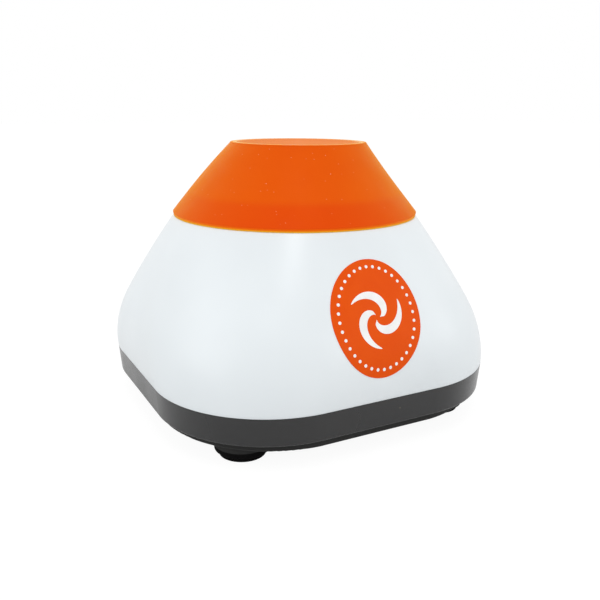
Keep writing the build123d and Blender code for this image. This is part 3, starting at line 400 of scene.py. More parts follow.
def orange_silicone():
    """Moulded silicone: matte and slightly waxy. The free skirt, with nothing behind it, is painted a deeper red,
    a painted shade; the hem's turned-in edge is painted lighter and its flash golden, painted light through the
    thin silicone;
    and the dish and rim are smoother by use and painted lighter, a painted reflection."""
    material, tree, shade, place = surface(
        "orange_silicone", IOR=1.41, Specular_IOR_Level=0.06, Sheen_Weight=0.6, Sheen_Roughness=0.5,
        Sheen_Tint=linear("FFD440"))
    # the blasted mould's grain is about 0.1 mm; it is drawn five times coarser so that it shows
    grain(tree, shade, place, 0.5 * MM, 0.008 * MM, detail=5.0)
    spot = add(tree, "ShaderNodeSeparateXYZ", {"Vector": place}).outputs
    # painted shade and light: the free skirt is painted a deeper red, the skin over the carrier lighter
    backed_painted_light = add(tree, "ShaderNodeMapRange", {
        "Value": spot["Z"], "From Min": FLANGE_Z - BACKED_FROM, "From Max": FLANGE_Z - BACKED_FULL},
        interpolation_type="SMOOTHSTEP")
    # painted light: the hem's turned-in edge is painted a lighter orange against the shade on its downward face,
    # and the thin flash that it fades into at its lowest line is painted golden, a painted glow of light through
    # it
    edge = add(tree, "ShaderNodeMapRange", {
        "Value": spot["Z"], "From Min": HEM_Z + HEM_EDGE, "From Max": HEM_Z + 0.9 * HEM_EDGE})
    # painted glow: golden at the flash, strongest at the hem's lowest line
    flash = add(tree, "ShaderNodeMapRange", {
        "Value": spot["Z"], "From Min": HEM_Z + HEM_EDGE, "From Max": HEM_Z + HEM_EDGE / 20})
    flash = add(tree, "ShaderNodeMath", {0: flash.outputs[0], 1: 3.0}, operation="POWER")
    # all that a tube rubs on: inside the rim, down to 1 mm under the dish's floor; smoother there by wear, and
    # painted lighter, a painted reflection
    out_y = add(tree, "ShaderNodeMath", {0: spot["Y"], 1: CRANK}, operation="ADD").outputs[0]
    level = add(tree, "ShaderNodeCombineXYZ", {"X": spot["X"], "Y": out_y})
    reach = add(tree, "ShaderNodeVectorMath", {0: level.outputs[0]}, operation="LENGTH").outputs["Value"]
    inside = add(tree, "ShaderNodeMapRange", {
        "Value": reach, "From Min": RIM_RADIUS - RIM_ROUND, "From Max": RIM_RADIUS - 2 * RIM_ROUND})
    over = add(tree, "ShaderNodeMath", {0: spot["Z"], 1: RIM_Z - DISH_DEEP - 1.0 * MM},
               operation="GREATER_THAN")
    worn_and_painted_reflection = add(tree, "ShaderNodeMath", {0: inside.outputs[0], 1: over.outputs[0]}, operation="MULTIPLY")
    # painted reflection: the rubbed zone is painted three quarters of the way to pale peach
    painted_reflection = add(tree, "ShaderNodeMath", {0: worn_and_painted_reflection.outputs[0], 1: 0.75}, operation="MULTIPLY")
    base = clouded(tree, place, 14 * MM, "E24700", "E04300")
    # painted tones over the base: lighter skin over the carrier, lighter hem edge, golden flash, pale peach dish
    for where, tone in ((backed_painted_light, clouded(tree, place, 14 * MM, "E45300", "E24F00")), (edge, linear("F65C00")),
                        (flash, linear("FFCC30")), (painted_reflection, linear("F0A66C"))):
        tones = {SHARE: where.outputs[0], FIRST: base, SECOND: tone}
        base = add(tree, "ShaderNodeMix", tones, data_type="RGBA").outputs[MIXED]
    # pale and dark grains in the rubber, by their spacing and radius in millimetres
    for spacing, radius, rarity, colour in ((1.3, 0.12, 0.22, "F08A60"), (2.2, 0.09, 0.3, "EE8A5C"),
                                            (3.2, 0.12, 0.12, "F4A98C"), (6.7, 0.12, 0.1, "B93A08")):
        base = flecked(tree, place, base, spacing * MM, radius * MM, rarity, colour)
    dull = drift(tree, place, 6 * MM, 0.46, 0.58)
    finish = add(tree, "ShaderNodeMapRange", {"Value": worn_and_painted_reflection.outputs[0], "To Min": dull, "To Max": 0.24})
    coat(tree, shade, base, finish.outputs["Result"])
    return material


def label_vinyl():
    """Screen-printed vinyl film: flat orange with a faint orange peel."""
    material, tree, shade, place = surface("label_vinyl", IOR=1.5, Specular_IOR_Level=0.1)
    grain(tree, shade, place, 0.9 * MM, 0.003 * MM, detail=1.0)
    base = clouded(tree, place, 5 * MM, "E65300", "E45000")
    coat(tree, shade, base, drift(tree, place, 4 * MM, 0.42, 0.5))
    return material


def label_ink():
    """White screen ink: opaque, dead matte, with the screen's mesh, drawn twice as coarse, just visible."""
    material, tree, shade, place = surface("label_ink", IOR=1.5)
    grain(tree, shade, place, 0.25 * MM, 0.003 * MM, detail=1.0)
    base = clouded(tree, place, 3 * MM, "F6F6F5", "EFEFEE")
    coat(tree, shade, base, drift(tree, place, 2 * MM, 0.55, 0.65))
    return material


# by the record's slots; grains and tool lines finer than about 0.1 mm are drawn coarser so that they show
FINISHES = {
    "white_shell": satin_white_abs(),
    "orange_silicone": orange_silicone(),
    "orange_label": label_vinyl(),
    "grey_tray": grey_textured_abs(),
    # rubber: soft, dead matte, with a coarse skin that holds dust
    "black_rubber": moulded_plastic("black_nitrile_rubber", "030303", "050404", 0.7, 0.6 * MM, 0.012 * MM,
                                    dust=0.15, Specular_IOR_Level=0.09),
    # glass-filled nylon: dark with a dry, slightly rough skin
    "black_plastic": moulded_plastic("black_glass_filled_nylon", "161617", "1C1C1D", 0.45, 0.3 * MM,
                                     0.008 * MM),
    # acetal: milky and waxy, smooth enough to slide
    "white_nylon": moulded_plastic("natural_acetal", "E6E2D6", "DFDACB", 0.35, 0.8 * MM, 0.004 * MM),
    # graphite: soft black blocks with a dusty, fine-grained face
    "carbon": moulded_plastic("pressed_graphite", "1B1B1C", "2A2A2B", 0.5, 0.15 * MM, 0.01 * MM),
    # ferrite: dull charcoal ceramic with visible grit
    "ferrite": moulded_plastic("sintered_ferrite", "2A2A2C", "353538", 0.6, 0.12 * MM, 0.01 * MM),
    # circuit board: glossy dark green lacquer over the weave of the glass
    "board_green": moulded_plastic("solder_masked_glass_board", "0E4A25", "0B4020", 0.3, 0.5 * MM,
                                   0.004 * MM),
    # shrunk sleeve: glossy navy film with a slight ripple
    "capacitor_sleeve": moulded_plastic("shrunk_pvc_sleeve", "14182E", "171C36", 0.25, 1.5 * MM, 0.01 * MM),
    # the switch's plunger: glossy red
    "red_button": moulded_plastic("red_acetal", "B01A12", "A01510", 0.3, 0.6 * MM, 0.004 * MM),
    # insulated leads: soft PVC with a satin skin
    "lead_black": moulded_plastic("black_pvc_lead", "111111", "161616", 0.4, 0.5 * MM, 0.006 * MM),
    "lead_red": moulded_plastic("red_pvc_lead", "A51712", "96130F", 0.4, 0.5 * MM, 0.006 * MM),
    # zinc plate: bluish grey and slightly cloudy
    "zinc_steel": worked_metal("zinc_plated_steel", "B9BCC2", "A4A8B0", 0.32, 0.5 * MM, 0.004 * MM),
    # hard-drawn wire: grey with fine drawing marks
    "spring_steel": worked_metal("drawn_spring_wire", "9A9CA0", "85878C", 0.28, 0.1 * MM, 0.003 * MM),
    # ground races and balls: bright, with hair-fine rings from the wheel
    "bearing_steel": worked_metal("ground_bearing_steel", "C8CACD", "BCBEC2", 0.14, 0.08 * MM, 0.001 * MM,
                                  (1, 1, 8)),
    # deep-drawn can: nickel plate with long upright draw marks
    "motor_can_steel": worked_metal("drawn_nickel_plated_can", "AEB0B2", "9FA1A5", 0.3, 0.6 * MM, 0.004 * MM,
                                    (4, 4, 0.3)),
    # stacked laminations: level lines, one for each sheet
    "core_steel": worked_metal("stacked_silicon_steel", "77787B", "66676A", 0.42, 0.5 * MM, 0.02 * MM,
                               (0.05, 0.05, 1)),
    # enamelled wire: brown-red copper in turns that lie side by side
    "copper": worked_metal("enamelled_copper_wire", "C4683A", "A9522A", 0.3, 0.35 * MM, 0.05 * MM,
                           (0.1, 0.1, 1)),
    # sintered bronze: dull gold, open-grained and oily
    "bronze": worked_metal("sintered_oil_bronze", "B08A4E", "957240", 0.45, 0.15 * MM, 0.01 * MM),
    # turned aluminium: pale, with level tool rings
    "hub_aluminium": worked_metal("turned_aluminium", "C9CBCC", "BFC1C3", 0.3, 0.2 * MM, 0.004 * MM,
                                  (0.2, 0.2, 3)),
}
INK = label_ink()


# ---- casing -----------------------------------------------------------------------------------
def lean_at(rise):
    """Radians that the wall leans in from upright at a height over the seam."""
    low = math.sin(SEAM_LEAN) + min(rise, SHOULDER_RISE) / SHOULDER_RADIUS
    return math.asin(low + max(rise - SHOULDER_RISE, 0) / SLOPE_RADIUS)


def half_at(rise):
    """Half width of the casing at a height over the seam: a shoulder arc, then a long slope arc."""
    low, knee, here = [math.cos(lean_at(level)) for level in (0, min(rise, SHOULDER_RISE), rise)]
    return SEAM_HALF + SHOULDER_RADIUS * (knee - low) + SLOPE_RADIUS * (here - knee)


def corner_at(rise):
    """Radius of the plan's corners at that height."""
    low, top = CORNER_RADIUS / SEAM_HALF, 1 - TOP_FLAT / half_at(SHELL_RISE)
    return half_at(rise) * (low + (top - low) * rise / SHELL_RISE)


def square_ring(half, corner, z):
    """Level rounded square, as points at equal turns."""
    flat = half - corner
    ring = []
    for n in range(AROUND):
        turn = 2 * math.pi * n / AROUND
        c, s = math.cos(turn), math.sin(turn)
        long, short = max(abs(c), abs(s)), min(abs(c), abs(s))
        reach = half / long
        if reach * short > flat:
            reach = flat * (long + short) + math.sqrt(corner**2 - (flat * (long - short)) ** 2)
        ring.append((reach * c, reach * s, z))
    return ring


def plan_ring(rise, inset):
    """The casing's outline at a height over the seam, drawn in by the inset."""
    return square_ring(half_at(rise) - inset, corner_at(rise) - inset, SEAM_Z + rise)


def round_ring(radius, z):
    return square_ring(radius, radius, z)


def fillet(radius, count):
    """Steps of a quarter round: how far out and up from its start each lies."""
    return [(radius * math.sin(a), radius * (1 - math.cos(a))) for a in steps(0, math.pi / 2, count)]


def upper_shell():
    """Shell wall, roof, neck and bead in one closed skin, with pillars inside and the inlet's window."""
    rings = [plan_ring(SEAM_GAP + up, EDGE_ROUND - out) for out, up in fillet(EDGE_ROUND, 3)]
    rings += [plan_ring(rise, 0) for rise in steps(SEAM_GAP + EDGE_ROUND, SHELL_RISE - EDGE_ROUND, 48)[1:]]
    rings += [plan_ring(SHELL_RISE - EDGE_ROUND + up, back) for up, back in fillet(EDGE_ROUND, 4)[1:]]
    bead_low = HEM_Z + HEM_LIP + SNAP_GAP
    bead_top = bead_low + BEAD_HIGH
    bead = skirt_radius(bead_top) - SKIRT_WALL - SNAP_GAP
    neck = bead - BEAD_REACH
    mouth = neck - COLLAR_WALL
    neck_top = bead_top + BEAD_HIGH / 2
    rings += [round_ring(radius, z) for radius, z in (
        (neck, SEAT_Z), (neck, bead_low), (bead, bead_low), (bead, bead_low + BEAD_HIGH / 2),
        (neck, neck_top), (mouth, neck_top), (mouth, SEAT_Z - ROOF_WALL))]
    rings += [plan_ring(rise, SHELL_WALL) for rise in steps(SHELL_RISE - ROOF_WALL, SEAM_GAP, 30)]
    shell = finished("shell_blank", skin_of_rings(rings), FINISHES["white_shell"])
    room = [round_ring(0, SEAM_Z)] + [plan_ring(rise, SHELL_WALL / 2) for rise in steps(0, SHELL_RISE, 30)]
    room = skin_of_rings(room + [round_ring(0, SEAT_Z)], closed=False)
    room = finished("under_roof", room, FINISHES["white_shell"])
    low, high = SEAM_Z + SEAM_GAP, SEAT_Z - ROOF_WALL / 2
    pin = PILOT_RADIUS / 10              # the pilot hole runs on this thin, so one ring of skin does it
    tube = [round_ring(radius, z)[::8] for radius, z in (
        (PILLAR_RADIUS, low), (PILLAR_RADIUS, high), (pin, high), (pin, low + PILOT_DEEP),
        (PILOT_RADIUS, low + PILOT_DEEP), (PILOT_RADIUS, low))]
    for x, y in itertools.product((-PILLAR_AT, PILLAR_AT), repeat=2):
        here = [[(px + x, py + y, pz) for px, py, pz in ring] for ring in tube]
        pillar = finished("pillar", skin_of_rings(here), FINISHES["white_shell"])
        combine(pillar, room, "INTERSECT")
        combine(shell, pillar, "UNION")
        bpy.data.objects.remove(pillar)
    bpy.data.objects.remove(room)
    jack_low, jack_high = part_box("dc_jack_housing")
    jack_z = jack_high.z - (jack_high.x - jack_low.x) / 2
    wall_y = half_at(jack_z - SEAM_Z)
    rows = [(0, wall_y - 4 * SHELL_WALL), (WINDOW_RADIUS, wall_y - 4 * SHELL_WALL),
            (WINDOW_RADIUS, wall_y - WINDOW_FLARE), (WINDOW_RADIUS + 2 * WINDOW_FLARE, wall_y + WINDOW_FLARE),
            (0, wall_y + WINDOW_FLARE)]
    rings = [[(x, y, jack_z + z) for x, z, _ in round_ring(radius, 0)[::4]] for radius, y in rows]
    window = finished("window", skin_of_rings(rings, closed=False), FINISHES["white_shell"])
    combine(shell, window, "DIFFERENCE")
    bpy.data.objects.remove(window)
    mesh = shell.data
    bpy.data.objects.remove(shell)
    piece = finished("shell_moulding", mesh, FINISHES["white_shell"])
    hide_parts("upper_shell")
    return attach(piece, "housing")


def base_tray():
    """The solid's tray with the plinth's corner walls and lower round moved in to wider plan corners. Its
    triangles stay loose, as the solid's own normals shade them."""
    mesh = frame["nodes"]["base_tray"].data.copy()
    mesh.name = "tray_moulding"
    centre = PLINTH_HALF - PLINTH_CORNER
    wide = (PLINTH_CORNER + PLINTH_WIDER) ** 2 - 2 * PLINTH_WIDER**2
    for vertex in mesh.vertices:
        x, y, z = vertex.co
        out_x, out_y = max(abs(x) - centre, 0), max(abs(y) - centre, 0)
        reach = math.hypot(out_x, out_y)
        inset = PLINTH_CORNER - reach
        on_corner = min(out_x, out_y) > 0 and -PLINTH_SKIN < inset < PLINTH_ROUND + PLINTH_SKIN
        if on_corner and z < BAND_LOW_Z + PLINTH_SKIN:
            along = PLINTH_WIDER * (out_x + out_y) / reach
            moved = (math.sqrt(wide + along**2) - along - inset) / reach
            vertex.co.x = math.copysign(centre + out_x * moved, x)
            vertex.co.y = math.copysign(centre + out_y * moved, y)
    mesh.materials.clear()
    mesh.materials.append(FINISHES["grey_tray"])
    piece = placed("tray_moulding", mesh)
    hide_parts("base_tray")
    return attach(piece, "housing")


# ---- cap --------------------------------------------------------------------------------------
def skirt_radius(z):
    """Outer radius of the skirt at a height: a cone that swells a little."""
    share = (z - HEM_Z - HEM_EDGE) / (RIM_Z - HEM_Z - HEM_EDGE)
    return HEM_RADIUS + (RIM_RADIUS - HEM_RADIUS) * share + 4 * SKIRT_SWELL * share * (1 - share)


def turned_tree():
    """Geometry tree that turns a profile round the motor's axis and bends it over towards the crank.
    The profile is a chain of points, radius in X and height in Z, one grid row for each."""
    tree, given = geometry_tree("turned_silicone", Profile="Object", Rows="Int", Around="Int", Crank="Float",
                                Lean_From="Float", Lean_To="Float")
    columns = add(tree, "ShaderNodeMath", {0: given["Around"], 1: 1.0}, operation="ADD").outputs[0]
    grid = add(tree, "GeometryNodeMeshGrid", {"Vertices X": columns, "Vertices Y": given["Rows"]})
    index = add(tree, "GeometryNodeInputIndex").outputs[0]
    column = add(tree, "ShaderNodeMath", {0: index, 1: given["Rows"]}, operation="DIVIDE").outputs[0]
    column = add(tree, "ShaderNodeMath", {0: column}, operation="FLOOR").outputs[0]
    row = add(tree, "ShaderNodeMath", {0: index, 1: given["Rows"]}, operation="MODULO").outputs[0]
    profile = add(tree, "GeometryNodeObjectInfo", {"Object": given["Profile"]}).outputs["Geometry"]
    spot = add(tree, "GeometryNodeSampleIndex", {
        "Geometry": profile, "Value": add(tree, "GeometryNodeInputPosition").outputs[0], "Index": row},
        data_type="FLOAT_VECTOR", clamp=True)
    spot = add(tree, "ShaderNodeSeparateXYZ", {"Vector": spot.outputs[0]}).outputs
    share = add(tree, "ShaderNodeMath", {0: column, 1: given["Around"]}, operation="DIVIDE").outputs[0]
    turn = add(tree, "ShaderNodeMath", {0: share, 1: 2 * math.pi}, operation="MULTIPLY").outputs[0]
    level = []
    for kind in ("COSINE", "SINE"):
        wave = add(tree, "ShaderNodeMath", {0: turn}, operation=kind).outputs[0]
        level.append(add(tree, "ShaderNodeMath", {0: wave, 1: spot["X"]}, operation="MULTIPLY").outputs[0])
    bend = add(tree, "ShaderNodeMapRange", {
        "Value": spot["Z"], "From Min": given["Lean From"], "From Max": given["Lean To"]}).outputs["Result"]
    bend = add(tree, "ShaderNodeMath", {0: bend, 1: 2.0}, operation="POWER").outputs[0]
    lean = add(tree, "ShaderNodeMath", {0: bend, 1: given["Crank"]}, operation="MULTIPLY").outputs[0]
    level[1] = add(tree, "ShaderNodeMath", {0: level[1], 1: lean}, operation="SUBTRACT").outputs[0]
    place = add(tree, "ShaderNodeCombineXYZ", {"X": level[0], "Y": level[1], "Z": spot["Z"]}).outputs[0]
    shaped = add(tree, "GeometryNodeSetPosition", {"Geometry": grid.outputs["Mesh"], "Position": place})
    closed = add(tree, "GeometryNodeMergeByDistance", {"Geometry": shaped.outputs[0], "Distance": SAME_POINT})
    return end_tree(tree, closed, given["Finish"])


TURNED = turned_tree()


def turned(name, profile, crank=0.0, lean_from=0.0, lean_to=1.0):
    """Silicone piece from (radius, height) points; a closed profile repeats its first point at the end."""
    chain = bpy.data.meshes.new("profile")
    chain.from_pydata([(r, 0, z) for r, z in profile], [(n, n + 1) for n in range(len(profile) - 1)], [])
    holder = placed("profile", chain)
    mesh = baked(name, TURNED, {
        "Profile": holder, "Rows": len(profile), "Around": AROUND, "Crank": crank,
        "Lean From": lean_from, "Lean To": lean_to, "Finish": FINISHES["orange_silicone"]})
    bpy.data.objects.remove(holder)
    piece = finished(name, mesh, FINISHES["orange_silicone"])
    return piece


def cap_hem():
    """Foot of the skirt: it snaps under the bead and stays round the motor's axis."""
    lip_z, top = HEM_Z + HEM_LIP, HEM_Z + STILL_HIGH
    lip_in = skirt_radius(lip_z + SNAP_GAP + BEAD_HIGH) - SKIRT_WALL - BEAD_REACH
    profile = [(lip_in, HEM_Z), (HEM_RADIUS - HEM_UNDER, HEM_Z),
               (HEM_RADIUS - HEM_TUCK, HEM_Z + HEM_EDGE / 10)]
    profile += [(skirt_radius(z), z) for z in steps(HEM_Z + HEM_EDGE, top, 16)]
    profile += [(skirt_radius(z) - SKIRT_WALL, z) for z in steps(top, lip_z, 14)]
    profile += [(lip_in, lip_z), profile[0]]
    piece = turned("cap_hem", profile)
    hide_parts("silicone_cap")
    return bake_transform(piece)


def cap_skin():
    """Leaning skin of the skirt. Every level of it is a circle that goes round with the crank, so it
    rides the rotor, and its plain round surface hides that it turns."""
    low = HEM_Z + STILL_HIGH + SLIP
    high = RIM_Z - RIM_ROUND - SLIP
    profile = [(skirt_radius(z), z) for z in steps(low, high, 40)]
    profile += [(skirt_radius(z) - SKIN_WALL, z) for z in steps(high, low, 40)]
    profile.append(profile[0])
    piece = turned("cap_skin", profile, CRANK, low, high)
    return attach(piece, "rotor")


def cap_cup():
    """Dished cup that grips the carrier's flange and plug ring, with the rounded rim."""
    low, high = HEM_Z + STILL_HIGH, RIM_Z - RIM_ROUND
    edge = RIM_RADIUS - RIM_LAND

    def inside(z):
        """Radius inside the leaning skin that is clear of it as it goes round."""
        lean = CRANK * (1 - ((z - low) / (high - low)) ** 2)
        return skirt_radius(z) - SKIN_WALL - SKIN_GAP - lean

    flange_top = FLANGE_Z + FLANGE_THICK
    roof_z = flange_top + SKIN_GAP
    plug_z = flange_top + PLUG_HIGH + GRIP_GAP
    hook_z = FLANGE_Z - GRIP_GAP
    plug_in, plug_out = PLUG_RADIUS - PLUG_WALL - GRIP_GAP, PLUG_RADIUS + GRIP_GAP
    grip = FLANGE_RADIUS + GRIP_GAP
    profile = [(0, roof_z), (plug_in, roof_z), (plug_in, plug_z), (plug_out, plug_z), (plug_out, roof_z),
               (grip, roof_z), (grip, hook_z), (grip - GRIP_HOOK, hook_z),
               (grip - GRIP_HOOK, hook_z - HEM_LIP), (grip + GRIP_WALL, hook_z - HEM_LIP),
               (grip + GRIP_WALL, flange_top)]
    profile += [(inside(z), z) for z in steps(flange_top + FLANGE_THICK / 2, high, 12)]
    profile += [(skirt_radius(high) - RIM_SPREAD * back, high + up) for up, back in fillet(RIM_ROUND, 6)]
    profile += [(edge + RIM_ROUND - out, RIM_Z - down) for out, down in fillet(RIM_ROUND, 5)]
    profile += dish_curve(edge, RIM_Z - DISH_DEEP)
    profile += [(r, RIM_Z - DISH_DEEP) for r in steps(DISH_FLAT, 0, 4)[1:]]
    # the lean ends below the cup, so that all of it stands on the crank's centre
    piece = turned("cap_cup", profile, CRANK, 0, low / 2)
    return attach(piece, "head")


def dish_curve(edge, dish_z):
    """Belly of the dish: a bow under the straight cone from the rim down to the flat."""
    start, end = Vector((edge, RIM_Z - RIM_ROUND)), Vector((DISH_FLAT, dish_z))
    across = (end - start).orthogonal().normalized()
    if across.y > 0:
        across = -across
    return [tuple(start.lerp(end, t) + across * DISH_BELLY * 4 * t * (1 - t)) for t in steps(0, 1, 24)[1:]]


# ---- label ------------------------------------------------------------------------------------
def on_wall(a, b, out):
    """Point on the front wall, a across and b up the slope from the label's centre, standing out by out."""
    lean = lean_at(LABEL_RISE)
    x = LABEL_X + a
    away = 0.0
    for _ in range(6):                   # each round lands nearer the curved wall
        y = -half_at(LABEL_RISE) + b * math.sin(lean) - away * math.cos(lean)
        rise = LABEL_RISE + b * math.cos(lean) + away * math.sin(lean)
        corner = corner_at(rise) + out
        flat = half_at(rise) - corner_at(rise)
        past = max(abs(x) - flat, 0.0)
        wall = -(flat + math.sqrt(corner**2 - past**2))
        away += (y - wall) / math.cos(lean)
    return (x, y, SEAM_Z + rise)


def wall_plate(name, flat_mesh, low, high, material):
    """Thin closed plate that lies on the front wall, from a flat drawing in metres."""
    work = bmesh.new()
    work.from_mesh(flat_mesh)
    bmesh.ops.remove_doubles(work, verts=work.verts, dist=SAME_POINT)
    for vertex in work.verts:
        vertex.co.z = 0
    raised = bmesh.ops.extrude_face_region(work, geom=work.faces[:], use_keep_orig=True)["geom"]
    for vertex in raised:
        if isinstance(vertex, bmesh.types.BMVert):
            vertex.co.z = 1
    for vertex in work.verts:
        vertex.co = on_wall(vertex.co.x, vertex.co.y, high if vertex.co.z > 0.5 else low)
    mesh = bpy.data.meshes.new(name)
    work.to_mesh(mesh)
    work.free()
    piece = finished(name, mesh, material, smooth_angle=50)
    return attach(piece, "housing")


def label_film():
    """Oval film, as rings from the middle out."""
    turns = steps(0, 2 * math.pi, 128)[:-1]
    rings = [[(LABEL_WIDE * share * math.cos(turn), LABEL_LONG * share * math.sin(turn), 0) for turn in turns]
             for share in steps(0, 1, 20)]
    mesh = skin_of_rings(rings, closed=False)
    piece = wall_plate("label_film", mesh, 0.0, LABEL_THICK, FINISHES["orange_label"])
    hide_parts("front_badge")
    return piece


def inked(name, flat_mesh):
    """Print on the film, half sunk into it."""
    return wall_plate(name, flat_mesh, LABEL_THICK - INK_THICK, LABEL_THICK + INK_THICK, INK)


def swirl():
    """Curling arms that swell from a narrow root and run out to their tips."""
    points, faces = [], []
    rows = 40
    for arm in range(SWIRL_ARMS):
        base = len(points)
        for share in steps(0, 1, rows):
            reach = SWIRL_FROM + SWIRL_REACH * share
            turn = 2 * math.pi * arm / SWIRL_ARMS + SWIRL_TURN * share
            belly = math.sin(math.pi * min(1.0, SWIRL_ROOT + (1 - SWIRL_ROOT) * share)) ** SWIRL_FULL
            wide = SWIRL_WIDE * belly + SWIRL_TIP
            points += [(r * math.cos(turn), r * math.sin(turn), 0)
                       for r in (reach - wide, reach, reach + wide)]
        corners = [base + 3 * n + side for n in range(rows) for side in (0, 1)]
        faces += [(k, k + 1, k + 4, k + 3) for k in corners]
    mesh = bpy.data.meshes.new("swirl")
    mesh.from_pydata(points, [], faces)
    return inked("label_swirl", mesh)


def dot_ring_tree():
    """Geometry tree: small discs at equal steps round an oval."""
    tree, given = geometry_tree("dot_ring", Dots="Int", Dot_Radius="Float", Half_Wide="Float",
                                Half_Long="Float")
    ring = add(tree, "GeometryNodeMeshCircle", {"Vertices": given["Dots"], "Radius": 1.0})
    stretch = add(tree, "ShaderNodeCombineXYZ", {"X": given["Half Wide"], "Y": given["Half Long"], "Z": 1.0})
    oval = add(tree, "GeometryNodeTransform", {"Geometry": ring.outputs[0], "Scale": stretch.outputs[0]})
    disc = add(tree, "GeometryNodeMeshCircle", {"Vertices": 16, "Radius": given["Dot Radius"]},
               fill_type="NGON")
    dots = add(tree, "GeometryNodeInstanceOnPoints", {"Points": oval.outputs[0], "Instance": disc.outputs[0]})
    return end_tree(tree, dots, given["Finish"])


def dot_ring():
    """Ring of printed dots inside the film's edge."""
    return inked("label_dots", baked("dots", dot_ring_tree(), {
        "Dots": DOTS, "Dot Radius": DOT_RADIUS, "Half Wide": LABEL_WIDE - DOT_INSET,
        "Half Long": LABEL_LONG - DOT_INSET, "Finish": INK}))


# ---- platform's springs and leads -------------------------------------------------------------
def wound_spring_tree():
    """Geometry tree: one round-wire coil with filled ends, repeated on the corners of a square."""
    tree, given = geometry_tree("wound_springs", Apart="Float", Coil_Radius="Float", Wire_Radius="Float",
                                Turns="Float", Low="Float", High="Float")
    high = add(tree, "ShaderNodeMath", {0: given["High"], 1: given["Low"]}, operation="SUBTRACT").outputs[0]
    coil = add(tree, "GeometryNodeCurveSpiral", {
        "Resolution": 32, "Rotations": given["Turns"], "Start Radius": given["Coil Radius"],
        "End Radius": given["Coil Radius"], "Height": high})
    section = add(tree, "GeometryNodeCurvePrimitiveCircle", {
        "Resolution": 10, "Radius": given["Wire Radius"]})
    wire = add(tree, "GeometryNodeCurveToMesh", {
        "Curve": coil.outputs[0], "Profile Curve": section.outputs[0], "Fill Caps": True})
    square = add(tree, "GeometryNodeMeshGrid", {
        "Size X": given["Apart"], "Size Y": given["Apart"], "Vertices X": 2, "Vertices Y": 2})
    four = add(tree, "GeometryNodeInstanceOnPoints", {
        "Points": square.outputs[0], "Instance": wire.outputs[0]})
    lift = add(tree, "ShaderNodeCombineXYZ", {"Z": given["Low"]})
    raised = add(tree, "GeometryNodeTransform", {"Geometry": four.outputs[0], "Translation": lift.outputs[0]})
    return end_tree(tree, raised, given["Finish"])


def wound_springs():
    """Four return springs, from the tray's posts to the platform's bushes."""
    low, high = [corner.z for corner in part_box("return_springs")]
    low, high = low + SPRING_WIRE, high - SPRING_WIRE
    mesh = baked("springs", wound_spring_tree(), {
        "Apart": 2 * GUIDE_AT, "Coil Radius": SPRING_RADIUS, "Wire Radius": SPRING_WIRE,
        "Turns": SPRING_TURNS, "Low": low, "High": high, "Finish": FINISHES["spring_steel"]})
    piece = finished("wound_springs", mesh, FINISHES["spring_steel"])
    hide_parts("return_springs")
    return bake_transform(piece)


def slack_leads():
    """Two leads from the header over and down beside the motor, with a slack sag up to its tags."""
    _, lead_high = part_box("motor_leads")
    tag_low, tag_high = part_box("motor_terminals")
    tag = tag_high.x - TAG_THICK / 2
    socket_y = lead_high.y - LEAD_RADIUS
    top, beside = lead_high.z - LEAD_RADIUS, MOTOR_RADIUS + LEAD_BEND
    sag = tag_low.z - LEAD_SAG
    curve = bpy.data.curves.new("leads", "CURVE")
    curve.dimensions = "3D"
    curve.bevel_depth = LEAD_RADIUS
    curve.bevel_resolution = 3
    curve.resolution_u = 6
    curve.use_fill_caps = True
    for side in (1, -1):
        x, end = HEADER_X - side * LEAD_PITCH / 2, side * tag
        route = [(x, socket_y, HEADER_SOCKET_Z), (x, socket_y, top - LEAD_BEND), (x, socket_y, top),
                 (x, (socket_y + beside) / 2, top), (x, beside, top - LEAD_BEND / 2),
                 (x, beside, top - 3 * LEAD_BEND), (x, beside - LEAD_RADIUS, sag + LEAD_BEND),
                 ((x + end) / 2, beside - LEAD_BEND, sag + LEAD_RADIUS), (end, LEAD_BEND, sag),
                 (end, LEAD_BEND / 3, sag), (end, 0, tag_low.z - LEAD_RADIUS)]
        spline = curve.splines.new("NURBS")
        spline.points.add(len(route) - 1)
        for point, place in zip(spline.points, route):
            point.co = (*place, 1)
        spline.order_u = 3
        spline.use_endpoint_u = True
    holder = placed("leads", curve)
    mesh = plain_mesh(holder)
    bpy.data.objects.remove(holder)
    piece = finished("slack_leads", mesh, FINISHES["lead_red"])
    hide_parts("motor_leads")
    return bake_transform(piece)


# ---- everything in place ----------------------------------------------------------------------
for slot in frame["record"]["materials"]:
    for node in frame["nodes"].values():
        for place in node.material_slots:
            if place.material and place.material.name == slot["slot"]:
                place.material = FINISHES[slot["slot"]]

upper_shell()
base_tray()
wound_springs()
slack_leads()
cap_hem()
cap_skin()
cap_cup()
label_film()
swirl()
dot_ring()


# ---- studio -----------------------------------------------------------------------------------
TABLE_REACH = 3.0
AIM = Vector((0, 0, 0.04))               # middle of the mixer, where the soft boxes point
VIEW_TURN = math.radians(-27.80)         # the camera stands left of the label
VIEW_REACH = 208.1 * MM                  # level distance from the motor's axis
VIEW_HIGH = 87.4 * MM
VIEW_ROLL = math.radians(0.41)
LOOK_AT = Vector((1.6, -0.8, 29.0)) * MM
LENS = 41.8                              # millimetres, on a sensor 36 mm wide
SENSOR = 36


